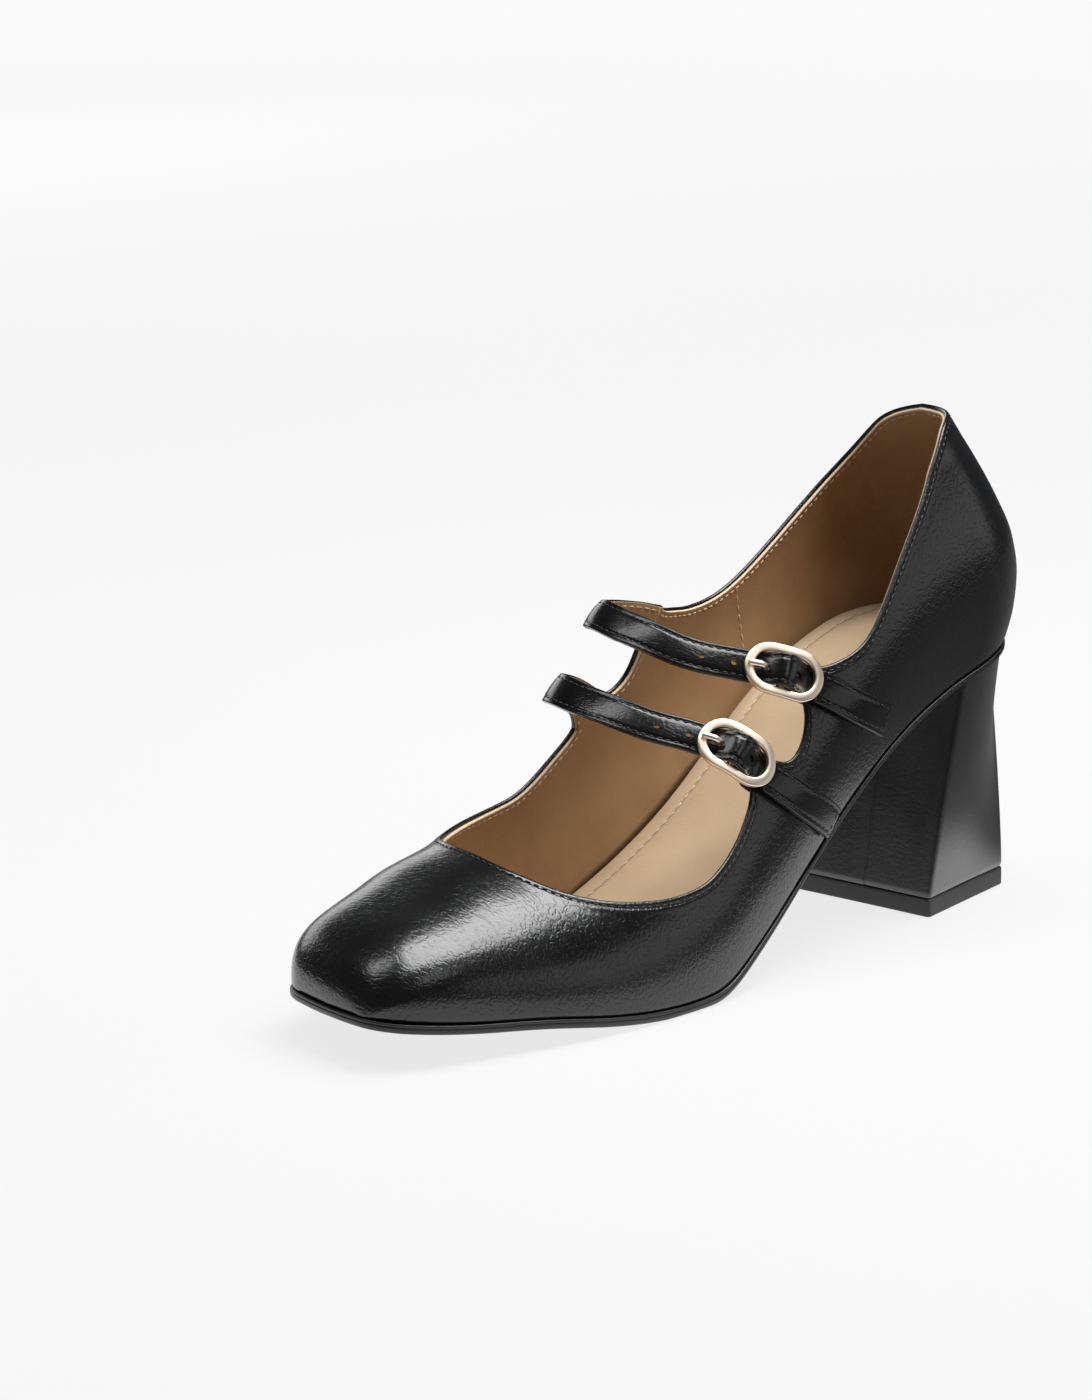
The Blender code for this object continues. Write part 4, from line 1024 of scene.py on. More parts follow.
@dataclass
class Sock(Slab):
    """Tan sock: a thin padded board with a sewn row round it."""

    margin: float = -(1.8 + 0.95) * MM
    thick: float = 2.0 * MM
    pad: float = 4.5 * MM
    row_in: float = 4.3 * MM

    def height(self, x: np.ndarray, y: np.ndarray) -> np.ndarray:
        """Height of the board's upper side without its relief."""
        share = LAST.share_at(x, y)
        rear = ease((0.42 - share) / 0.24)
        return LAST.feather_height(share) + self.thick + (self.pad - self.thick) * rear

    def top(self, x: np.ndarray, y: np.ndarray) -> np.ndarray:
        """Upper side: a low pillow inside the sewn row, a furrow along it and a soft roll outside it."""
        flat, normal = self.outline()
        edge = self.ring(flat, normal, 0.0)
        shape = np.shape(x)
        places = np.stack([np.ravel(x), np.ravel(y)], axis=-1)
        blocks = np.array_split(places, max(len(places) // 2000, 1))
        gaps = [np.linalg.norm(part[:, None] - edge[None], axis=-1).min(axis=1) for part in blocks]
        gap = np.concatenate(gaps).reshape(shape)
        pillow = 0.55 * MM * ease((gap - self.row_in) / (9.0 * MM))
        furrow = 0.30 * MM * bump(gap, self.row_in, 0.9 * MM)
        roll = 0.18 * MM * bump(gap, 2.2 * MM, 1.4 * MM)
        return self.height(x, y) + pillow - furrow + roll

    def bottom(self, x: np.ndarray, y: np.ndarray) -> np.ndarray:
        """Lower side, on the sole."""
        return LAST.feather_height(LAST.share_at(x, y)) + 0.0 * x

    def build(self) -> None:
        """Board, and its sewn row."""
        self.stations = 200
        inner = np.arange(-8.0, -1.0, 0.35)
        rim = np.array([(-0.9, 0.0), (-0.5, 0.02), (-0.22, 0.07), (-0.06, 0.16), (0.0, 0.3), (0.0, 0.8),
                        (-0.1, 1.0)])
        rim = np.concatenate([np.column_stack([inner, 0.0 * inner]), rim])
        rim[:, 0] *= MM
        piece = self.body("sock", rim, self.top, self.bottom)
        dress(piece, SOCK_LEATHER, Slot.SOCK, "insole")
        points = np.empty(len(piece.data.vertices) * 3, np.float32)
        piece.data.vertices.foreach_get("co", points)
        points = points.reshape(-1, 3)
        drop = self.height(points[:, 0], points[:, 1]) - points[:, 2]
        paint_rim(piece, ease((drop - 0.15 * MM) / (0.25 * MM)))
        flat, normal = self.outline()
        row = self.ring(flat, normal, -self.row_in)
        high = self.top(row[:, 0], row[:, 1])
        path = np.column_stack([row, high + 0.02 * MM])
        reach = run_lengths(path)
        even = np.linspace(0.0, reach[-1], 600)
        path = np.stack([np.interp(even, reach, path[:, k]) for k in range(3)], axis=-1)
        up = np.tile(np.array([0.0, 0.0, 1.0]), (len(path), 1))
        thread = Thread(stitch=1.9 * MM, pitch=2.9 * MM, thick=0.24 * MM)
        dress(thread.row("sock_sewing", path[8:-8], up[8:-8]), TAN_THREAD, Slot.SOCK)


@dataclass
class Heel:
    """Wrapped block heel and its rubber top lift."""

    lift_height: float = 4.5 * MM
    front_y: float = -20.6 * MM
    back_y: float = 17.2 * MM
    front_half: float = 23.7 * MM
    back_half: float = 16.0 * MM
    breast_y: float = -10.0 * MM
    seat_back_y: float = 19.2 * MM
    seat_inset: float = 1.0 * MM
    gap: float = 0.25 * MM
    seam_x: float = 3.2 * MM
    seam_band: tuple = (0.525, 0.59)
    levels: int = 70
    lanes: int = 108
    seam_lanes: int = 37

    def outline(self, level: np.ndarray) -> np.ndarray:
        """Outline of the heel at shares up from its foot to the seat, as level, place, x and y.

        The outline runs across the breast, along the outer side, across the back and along the inner
        side. Each point moves on an eased line from the foot's straight-sided shape to the seat's round
        one, and the corners are rounded by averaging neighbours round the loop.
        """
        share = np.linspace(0.0, 1.0, 90)
        low_half = self.front_half + (self.back_half - self.front_half) * share
        low_y = self.front_y + (self.back_y - self.front_y) * share
        high_y = self.breast_y + (self.seat_back_y - self.breast_y) * np.sin(share * np.pi / 2.0)
        place = (LAST.back_y - high_y) / LAST.length
        right = LAST.half_width(place, 1) - self.seat_inset
        left = LAST.half_width(place, -1) - self.seat_inset
        up = np.asarray(level)[:, None]
        x_right = low_half + (right - low_half) * up**1.25
        x_left = -(low_half + (left - low_half) * up**1.25)
        y = low_y + (high_y - low_y) * up
        outer = np.stack([x_right, y], axis=-1)
        inner = np.stack([x_left, y], axis=-1)[:, ::-1]
        across = np.linspace(0.0, 1.0, self.lanes + 2)[1:-1][None, :, None]
        seam = np.linspace(*self.seam_band, self.seam_lanes)
        fine = np.sort(np.concatenate([across.ravel(), seam]))[None, :, None]
        breast = inner[:, -1:] + (outer[:, :1] - inner[:, -1:]) * fine
        back = outer[:, -1:] + (inner[:, :1] - outer[:, -1:]) * across
        back[..., 1] = back[..., 1] + 0.9 * MM * up * (1.0 - (2.0 * across[..., 0] - 1.0) ** 2)
        loop = np.concatenate([breast, outer, back, inner], axis=1)
        for _ in range(5):
            loop = (np.roll(loop, 1, axis=1) + 2.0 * loop + np.roll(loop, -1, axis=1)) / 4.0
        return loop

    def seat(self, x: np.ndarray, y: np.ndarray) -> np.ndarray:
        """Height of the heel's top under the sole."""
        share = LAST.share_at(x, y)
        return LAST.feather_height(share) - 0.3 * MM - Outsole().thickness(share) - self.gap

    def build(self) -> None:
        """Wrap, closed over the seat and the foot, and the lift below."""
        low = self.lift_height + self.gap
        shares = np.concatenate([[0.0, 0.006, 0.014], np.linspace(0.025, 1.0, self.levels)])
        loop = self.outline(shares)
        high = self.seat(loop[..., 0], loop[-1][None, :, 1] + 0.0 * loop[..., 1])
        z = low + (high - low) * shares[:, None]
        aside = loop[..., 0] - (self.seam_x - 1.2 * MM * shares[:, None])
        lap = 0.20 * MM * ease(0.5 - aside / (0.25 * MM))
        groove = 0.22 * MM * np.exp(-((aside / (0.20 * MM)) ** 2))
        body = loop.copy()
        face = np.arange(loop.shape[1]) < self.lanes + self.seam_lanes
        inside = ease((22.0 * MM - np.abs(loop[..., 0])) / (6.0 * MM))
        body[..., 1] = body[..., 1] - np.where(face[None], (lap - groove) * inside, 0.0)
        tuck = 0.30 * MM * np.clip(1.0 - shares / 0.02, 0.0, 1.0)[:, None, None] ** 2
        centre = body.mean(axis=1, keepdims=True)
        body = body - unit(body - centre) * tuck
        rings = np.concatenate([body, z[..., None]], axis=-1)
        piece = tube("heel_wrap", rings)
        sharpen(piece, 55.0)
        dress(piece, HEEL_LEATHER, Slot.HEEL, "heel")
        self.lift()

    def lift(self) -> None:
        """Top lift: the heel's foot outline with softly rounded upper and lower edges."""
        base = self.outline(np.array([0.0]))[0]
        centre = base.mean(axis=0)
        profile = [(0.35, 0.0), (0.12, 0.10), (0.02, 0.30), (0.0, 0.6),
                   (0.0, 3.8), (0.03, 4.15), (0.12, 4.35), (0.35, 4.48)]
        rings = []
        for inset, height in profile:
            ring = base - unit(base - centre) * inset * MM
            rings.append(np.column_stack([ring, np.full(len(ring), height * MM)]))
        piece = tube("top_lift", np.array(rings))
        sharpen(piece, 60.0)
        dress(piece, LIFT_RUBBER, Slot.LIFT, "heel_lift")


# Straps


class StrapPath:
    """Straightened space of one strap: length along it, place across it and height above the last."""

    def __init__(self, line: tuple, bar_around: float) -> None:
        """Work out the middle line and its three directions.

        Args:
            line: Rows of share along and place around, from the inner ear to the end of the tab.
            bar_around: Place around of the buckle's centre bar.
        """
        rows = np.array(line)
        reach = run_lengths(LAST.surface(rows[:, 0], rows[:, 1]))
        place = natural(reach, rows, np.linspace(0.0, reach[-1], 241))
        self.middle = LAST.surface(place[:, 0], place[:, 1])
        step, turn = 0.002, 0.02
        along, around = place[:, 0], place[:, 1]
        by_along = LAST.surface(along + step, around) - LAST.surface(along - step, around)
        by_around = LAST.surface(along, around + turn) - LAST.surface(along, around - turn)
        normal = unit(np.cross(by_along, by_around))
        for _ in range(60):
            normal[1:-1] = (normal[:-2] + normal[1:-1] * 2.0 + normal[2:]) / 4.0
        tangent = unit(np.gradient(self.middle, axis=0))
        self.normal = unit(normal - tangent * np.sum(normal * tangent, axis=1, keepdims=True))
        self.tangent = tangent
        self.cross = np.cross(self.normal, tangent)
        self.reach = run_lengths(self.middle)
        self.length = float(self.reach[-1])
        self.bar = float(np.interp(bar_around, place[:, 1], self.reach))
        self.hollow = self.cross_bend(place, by_along / (2.0 * step), by_around / (2.0 * turn))

    def cross_bend(self, place: np.ndarray, by_along: np.ndarray, by_around: np.ndarray) -> np.ndarray:
        """Bend of the last across the strap, one over its radius, along the middle line.

        A step to each side is turned into shares by least squares, and the drop of the two points found
        there below the middle line's normal gives the bend as twice the drop over the step squared.
        """
        reach = 4.0 * MM
        aside = self.cross * reach
        aa = np.sum(by_along * by_along, axis=1)
        ab = np.sum(by_along * by_around, axis=1)
        bb = np.sum(by_around * by_around, axis=1)
        ca, cb = np.sum(by_along * aside, axis=1), np.sum(by_around * aside, axis=1)
        scale = aa * bb - ab * ab
        da, db = (ca * bb - cb * ab) / scale, (cb * aa - ca * ab) / scale
        one = LAST.surface(place[:, 0] - da, place[:, 1] - db) - self.middle
        two = LAST.surface(place[:, 0] + da, place[:, 1] + db) - self.middle
        bend = -np.sum((one + two) * self.normal, axis=1) / reach**2
        for _ in range(40):
            bend[1:-1] = (bend[:-2] + bend[1:-1] * 2.0 + bend[2:]) / 4.0
        return bend

    def read(self, field_values: np.ndarray, place: np.ndarray) -> np.ndarray:
        """Vectors along the line read at lengths."""
        parts = [np.interp(place, self.reach, field_values[:, k]) for k in range(3)]
        return np.stack(parts, axis=-1)

    def world(self, length: np.ndarray, across: np.ndarray, height: np.ndarray,
              bent: float = 1.0) -> np.ndarray:
        """Points of length, across and height carried onto the shoe.

        Args:
            length: Lengths along the strap.
            across: Places across, positive towards the heel.
            height: Heights above the last.
            bent: 1 to bend with the last across the strap, 0 to stay flat.

        Returns:
            Points with x, y and z in the last axis.
        """
        length, across, height = np.broadcast_arrays(length, across, height)
        inside = np.clip(length, 0.0, self.length)
        drop = bent * np.interp(inside, self.reach, self.hollow) * across**2 / 2.0
        return (self.read(self.middle, inside)
                + self.read(self.tangent, inside) * (length - inside)[..., None]
                + self.read(self.cross, inside) * across[..., None]
                + self.read(self.normal, inside) * (height - drop)[..., None])


@dataclass
class Strap:
    """One instep strap with its buckle, prong, elastic and tab."""

    key: str
    line: tuple
    bar_around: float
    width: float = 8.0 * MM
    thick: float = 1.6 * MM
    lining: float = 0.45 * MM
    bow: float = 3.6 * MM
    joint: float = 0.15 * MM
    lap: float = 2.3 * MM
    flare: float = 1.8 * MM
    stitch_in: float = 1.15 * MM
    hole: float = 0.70 * MM
    hole_pitch: float = 7.3 * MM
    prong_hole: float = -4.1 * MM
    frame_length: float = 18.6 * MM
    frame_width: float = 12.8 * MM
    band: float = 2.1 * MM
    frame_thick: float = 1.5 * MM
    frame_under: float = 2.2 * MM
    bar_radius: float = 0.6 * MM
    tab_length: float = 26.5 * MM
    elastic_width: float = 7.8 * MM
    # Height of the strap's underside near the bar, by length from the bar
    rise: tuple = (
        (-30.0, 0.3), (-9.0, 0.3), (-5.3, 0.3), (-3.6, 1.5), (-1.8, 3.1), (0.0, 3.8), (1.8, 3.1),
        (3.6, 1.5), (5.3, 0.3), (9.0, 0.3),
    )

    def __post_init__(self) -> None:
        """Work out the strap's path."""
        self.path = StrapPath(self.line, self.bar_around)
        self.start = self.joint - self.lap
        self.end = self.path.bar + 8.4 * MM

    def build(self) -> None:
        """Make every piece of the strap."""
        self.leather()
        self.sewing()
        self.buckle()
        self.prong()
        self.elastic()
        self.tab()

    def under(self, length: np.ndarray) -> np.ndarray:
        """Height of the strap's underside above the last, averaged over a short length for soft bends."""
        rows = np.array(self.rise) * MM
        shifts = np.linspace(-1.2, 1.2, 7) * MM
        near = np.mean([monotone(rows, 1, np.maximum(length - self.path.bar + shift, rows[0, 0]))
                        for shift in shifts], axis=0)
        lift = ease((length - self.joint) / (20.0 * MM))
        free = np.clip((length - self.joint) / (self.path.bar - 12.5 * MM), 0.0, 1.0)
        bow = self.bow * np.sin(np.pi * free**0.65) ** 2
        return -1.7 * MM + (near + 1.7 * MM) * lift + bow

    def root(self, length: np.ndarray) -> np.ndarray:
        """Flare of the strap where it runs into the ear. Half of it also leans to the toe."""
        return self.flare * np.clip(1.0 - (length - self.start) / (10.5 * MM), 0.0, 1.0) ** 2.6

    def half(self, length: np.ndarray) -> np.ndarray:
        """Half width: flared where it runs into the ear, even along the strap, rounded at the tip."""
        tip = np.clip((length - (self.end - 3.0 * MM)) / (3.0 * MM), 0.0, 1.0)
        rounding = 0.62 + 0.38 * np.sqrt(np.clip(1.0 - tip**2, 0.0, 1.0))
        return (self.width / 2.0 + self.root(length)) * rounding

    def stations(self) -> np.ndarray:
        """Lengths of the strap's cross sections."""
        ends = 1.2 * MM * np.linspace(0.0, 1.0, 5) ** 2
        middle = np.arange(self.start + 1.6 * MM, self.end - 1.4 * MM, 0.42 * MM)
        return np.concatenate([self.start + ends, middle, self.end - ends[::-1]])

    @staticmethod
    def section(half: np.ndarray, low: np.ndarray, thick: float, crown: float, furrow: float,
                stitch_in: float, round_by: float, count: int = 29) -> tuple[np.ndarray, np.ndarray]:
        """Cross sections of a strip, one row for each station.

        The top is a low arch with a furrow along each sewn row, the edges are quarter circles, and the
        underside is flat.

        Args:
            half: Half widths.
            low: Heights of the underside.
            thick: Thickness.
            crown: Height of the arch at the middle.
            furrow: Depth of the furrows.
            stitch_in: Distance of the furrows from the edges.
            round_by: Radius of the upper edges.
            count: Points across the top.

        Returns:
            Places across and heights, station by point.
        """
        half, low = half[:, None], low[:, None]
        share = np.linspace(-1.0, 1.0, count)[None, :]
        across = (half - round_by) * share
        rest = half - np.abs(across)
        top = low + thick + crown * (1.0 - share**2) - furrow * bump(rest, stitch_in, 0.42 * MM)
        turn = np.linspace(0.0, np.pi / 2.0, 5)[1:][None, :]
        right = half - round_by + round_by * np.sin(turn)
        right_z = low + thick - round_by + round_by * np.cos(turn)
        soft = round_by * 0.5
        foot = np.concatenate([half + 0.0 * low, half - soft * 0.3, half - soft], axis=1)
        foot_z = np.concatenate([low + soft, low + soft * 0.3, low], axis=1)
        x = np.concatenate([across, right, foot, -foot[:, ::-1], -right[:, ::-1]], axis=1)
        z = np.concatenate([top, right_z, foot_z, foot_z[:, ::-1], right_z[:, ::-1]], axis=1)
        return x, z

    def strip(self, name: str, length: np.ndarray, half: np.ndarray, low: np.ndarray, **shape: float
              ) -> bpy.types.Object:
        """Closed strip with shaped cross sections along the strap's path."""
        x, z = self.section(half, low, **shape)
        x = x - 0.5 * self.root(length)[:, None]
        rings = self.path.world(length[:, None] + 0.0 * x, x, z)
        return tube(name, rings)

    def leather(self) -> None:
        """Top leather with punched holes, and the tan lining under it."""
        length = self.stations()
        half, low = self.half(length), self.under(length)
        square = ease((length - self.start) / (0.35 * MM)) * ease((self.end - length) / (0.6 * MM))
        trim = 0.25 * MM * (1.0 - square)
        top = self.strip(f"strap_{self.key}_top", length, half - trim, low + self.lining, thick=self.thick
                         - self.lining, crown=0.22 * MM, furrow=0.12 * MM, stitch_in=self.stitch_in,
                         round_by=0.38 * MM)
        offsets = [self.prong_hole + count * self.hole_pitch for count in (0.0, -1.0, -2.0, 1.0)]
        places = [self.path.bar + offset for offset in offsets]
        self.punch(top, places, self.hole)
        dress(top, STRAP_LEATHER, Slot.STRAP, f"strap_{self.key}")
        under = self.strip(f"strap_{self.key}_lining", length, half - 0.15 * MM - trim, low,
                           thick=self.lining - 0.01 * MM, crown=0.0, furrow=0.0, stitch_in=1.0 * MM,
                           round_by=0.1 * MM, count=9)
        self.punch(under, places, self.hole + 0.35 * MM)
        dress(under, STRAP_LINING, Slot.SOCK)

    def punch(self, piece: bpy.types.Object, places: list[float], radius: float) -> None:
        """Cut round holes of one radius through a strip."""
        turn = np.linspace(0.0, 2.0 * np.pi, 24, endpoint=False)
        cutters = []
        for place in places:
            rings = [self.path.world(place + radius * np.cos(turn), radius * np.sin(turn), level)
                     for level in (-4.0 * MM, 10.0 * MM)]
            cutter = tube(f"punch_{len(cutters)}", np.array(rings))
            cutters.append(cutter)
            cut = piece.modifiers.new("punch", "BOOLEAN")
            cut.operation = "DIFFERENCE"
            cut.solver = "EXACT"
            cut.object = cutter
        bpy.context.view_layer.update()
        whole = bpy.data.meshes.new_from_object(piece.evaluated_get(bpy.context.evaluated_depsgraph_get()))
        piece.modifiers.clear()
        old = piece.data
        piece.data = whole
        bpy.data.meshes.remove(old)
        for cutter in cutters:
            bpy.data.objects.remove(cutter)
        whole.name = piece.name
        sharpen(piece, 50.0)

    def sewing(self) -> None:
        """A sewn row along each edge of the strap, on its top and on its lining."""
        length = np.arange(self.start + 0.6 * MM, self.end - 1.0 * MM, 0.5 * MM)
        half, low = self.half(length), self.under(length)
        thread = Thread(stitch=1.5 * MM, pitch=2.0 * MM, thick=0.17 * MM)
        for side, name in ((-1.0, "near"), (1.0, "far")):
            across = side * (half - self.stitch_in)
            share = across / (half - 0.38 * MM)
            high = low + self.thick + 0.22 * MM * (1.0 - share**2) - 0.12 * MM
            across = across - 0.5 * self.root(length)
            line = self.path.world(length, across, high)
            up = unit(self.path.world(length, across, high + 1.0 * MM) - line)
            dress(thread.row(f"strap_{self.key}_sewing_{name}", line, up), BLACK_THREAD, Slot.STRAP)
            line = self.path.world(length, across, low)
            dress(thread.row(f"strap_{self.key}_lining_sewing_{name}", line, -up), TAN_THREAD, Slot.SOCK)

    def buckle(self) -> None:
        """Flat oval frame with soft shoulders, and the round bar across its middle.

        The frame's middle line is a stadium; its section is a rounded oblong a little proud in the middle.
        """
        turn = 2.0 * np.pi * (np.arange(120) + 0.5) / 120
        radius = self.frame_width / 2.0
        straight = self.frame_length / 2.0 - radius
        shift = np.tanh(np.cos(turn) * 9.0) * straight
        out = np.stack([np.cos(turn), np.sin(turn)], axis=-1)
        middle = np.stack([shift, 0.0 * turn], axis=-1) + out * (radius - self.band / 2.0)
        angle = np.linspace(0.0, 2.0 * np.pi, 20, endpoint=False)
        wide = np.sign(np.cos(angle)) * np.abs(np.cos(angle)) ** 0.42 * self.band / 2.0
        high = np.sign(np.sin(angle)) * np.abs(np.sin(angle)) ** 0.42 * self.frame_thick / 2.0
        flat = middle[:, None] + out[:, None] * wide[None, :, None]
        level = self.frame_under + self.frame_thick / 2.0 + high[None, :] + 0.0 * flat[..., 0]
        points = self.path.world(self.path.bar + flat[..., 0], flat[..., 1], level, 0.0)
        faces = grid_quads(len(turn), len(angle), True, True)
        reach = np.linspace(-1.0, 1.0, 9) * (radius - self.band * 0.5)
        ring = np.stack([np.cos(angle), np.sin(angle)], axis=-1) * self.bar_radius
        rod_level = self.frame_under + self.bar_radius + ring[None, :, 1]
        rod = self.path.world(self.path.bar + ring[None, :, 0] + 0.0 * reach[:, None],
                              reach[:, None] + 0.0 * ring[None, :, 0], rod_level, 0.0)
        first = points.reshape(-1, 3)
        rods = grid_quads(len(reach), len(angle), False, True, first=len(first))
        caps = [np.arange(len(angle))[None, :] + len(first),
                np.arange(len(angle))[None, :] + len(first) + (len(reach) - 1) * len(angle)]
        piece = make_mesh(f"buckle_{self.key}_frame", np.concatenate([first, rod.reshape(-1, 3)]),
                          [faces, rods, *caps])
        dress(piece, GOLD_PLATE, Slot.BUCKLE, f"buckle_{self.key}")

    def prong(self) -> None:
        """Flattened prong from below the strap, up through its hole and over the frame's end."""
        bar, hole = self.path.bar, self.path.bar + self.prong_hole
        top = self.frame_under + self.frame_thick + 0.55 * MM
        line = np.array([(bar - 1.7 * MM, 1.2 * MM), (bar - 3.0 * MM, 0.5 * MM), (hole + 0.1 * MM, 0.9 * MM),
                         (hole, 2.0 * MM), (hole - 0.3 * MM, 3.4 * MM), (hole - 1.3 * MM, top + 0.05 * MM),
                         (bar - 7.0 * MM, top + 0.05 * MM), (bar - 8.6 * MM, top - 0.05 * MM)])
        reach = run_lengths(line)
        fine = np.linspace(0.0, reach[-1], 46)
        way = natural(reach, line, fine)
        ahead = unit(np.gradient(way, axis=0))
        tip = ((fine - reach[-1] + 0.7 * MM) / (0.7 * MM)).clip(0.0, 1.0)
        end = np.sqrt(np.clip(1.0 - tip**2, 0.0, 1.0))
        wide = ease((fine - 4.0 * MM) / (1.5 * MM))
        angle = np.linspace(0.0, 2.0 * np.pi, 16, endpoint=False)
        across = (0.55 * MM + 0.20 * MM * wide)[:, None] * (0.3 + 0.7 * end)[:, None] * np.cos(angle)[None]
        lift = (0.52 * MM * (0.35 + 0.65 * end))[:, None] * np.sin(angle)[None]
        length = way[:, :1] - ahead[:, 1:2] * lift
        height = way[:, 1:2] + ahead[:, :1] * lift
        piece = tube(f"prong_{self.key}", self.path.world(length, across, height, 0.0))
        dress(piece, GOLD_PLATE, Slot.BUCKLE, f"prong_{self.key}")

    def elastic(self) -> None:
        """Ribbed elastic from under the bar down inside the outer ear.

        Its top is a row of ribs, a raised cosine across the width, and fine rungs cross them.
        """
        rows = np.array([(-1.0, 0.9), (0.6, 0.9), (2.0, 0.3), (3.8, -1.4), (5.4, -2.9), (6.6, -3.3),
                         (19.0, -3.3)]) * MM
        length = np.arange(-1.0, 19.0, 0.22) * MM
        low = monotone(rows, 1, length)
        across = np.linspace(-0.5, 0.5, 97) * self.elastic_width
        ribs = 0.10 * MM * (np.cos(2.0 * np.pi * across / (0.86 * MM)) - 1.0)
        rungs = 0.03 * MM * np.cos(2.0 * np.pi * length / (0.7 * MM))[:, None]
        aside = 2.0 * np.abs(across) / self.elastic_width
        edge = 0.25 * MM * (1.0 - np.sqrt(np.clip(1.0 - aside**12, 0.0, 1.0)))
        top = low[:, None] + 1.0 * MM + ribs[None] + rungs - edge[None]
        base = low[:, None] + edge[None]
        x = np.concatenate([across, across[::-1]])
        z = np.concatenate([top, base[:, ::-1]], axis=1)
        rings = self.path.world(self.path.bar + length[:, None] + 0.0 * z, x[None] + 0.0 * z, z)
        dress(tube(f"elastic_{self.key}", rings), ELASTIC_CLOTH, Slot.ELASTIC, f"elastic_{self.key}")

    def tab(self) -> None:
        """Squared leather tab on the outside of the outer ear, with its oblong of sewing."""
        start = self.path.bar + 8.8 * MM
        end = min(start + self.tab_length, self.path.length)
        fine = 0.7 * MM * np.linspace(0.0, 1.0, 5) ** 2
        middle = np.arange(start + 1.0 * MM, end - 0.9 * MM, 0.5 * MM)
        length = np.concatenate([start + fine, middle, end - fine[::-1]])
        near = np.minimum(length - start, end - length)
        rest = (1.0 - near / (0.7 * MM)).clip(0.0, 1.0)
        trim = 0.30 * MM * (1.0 - np.sqrt(np.clip(1.0 - rest**2, 0.0, 1.0)))
        half = np.full_like(length, self.width / 2.0) - trim
        low = np.full_like(length, 0.3 * MM)
        x, z = self.section(half, low, 1.7 * MM, 0.08 * MM, 0.12 * MM, self.stitch_in, 0.35 * MM)
        z = z - np.where(z > 1.2 * MM, trim[:, None], 0.0)
        piece = tube(f"tab_{self.key}", self.path.world(length[:, None] + 0.0 * x, x, z))
        dress(piece, STRAP_LEATHER, Slot.STRAP, f"tab_{self.key}")
        inset = self.stitch_in + 0.1 * MM
        wide = self.width / 2.0 - inset
        low_end, high_end = start + 1.4 * MM, end - inset
        sides = [(np.linspace(low_end, high_end, 40), np.full(40, -wide)),
                 (np.full(20, high_end), np.linspace(-wide, wide, 20)),
                 (np.linspace(high_end, low_end, 40), np.full(40, wide))]
        thread = Thread(stitch=1.5 * MM, pitch=2.0 * MM, thick=0.17 * MM)
        for count, (place, across) in enumerate(sides):
            high = 0.3 * MM + 1.7 * MM + 0.08 * MM * (1.0 - (across / (self.width / 2.0)) ** 2) - 0.07 * MM
            line = self.path.world(place, across, high)
            up = unit(self.path.world(place, across, high + 1.0 * MM) - line)
            dress(thread.row(f"tab_{self.key}_sewing_{count}", line, up), BLACK_THREAD, Slot.STRAP)


STRAPS = (
    Strap("upper", (
        (0.4105, -0.592), (0.430, -0.510), (0.454, -0.400), (0.478, -0.260), (0.493, -0.100), (0.500, 0.050),
        (0.498, 0.170), (0.486, 0.300), (0.470, 0.395), (0.451, 0.485), (0.431, 0.567), (0.410, 0.646),
        (0.385, 0.732), (0.349, 0.834), (0.303, 0.928)), 0.578, bow=3.6 * MM),
    Strap("lower", (
        (0.4915, -0.606), (0.508, -0.510), (0.527, -0.400), (0.547, -0.260), (0.562, -0.100), (0.568, 0.050),
        (0.565, 0.170), (0.555, 0.290), (0.543, 0.375), (0.529, 0.462), (0.513, 0.548), (0.496, 0.646),
        (0.475, 0.740), (0.440, 0.862), (0.393, 0.978)), 0.567, bow=2.6 * MM),
)


# Studio


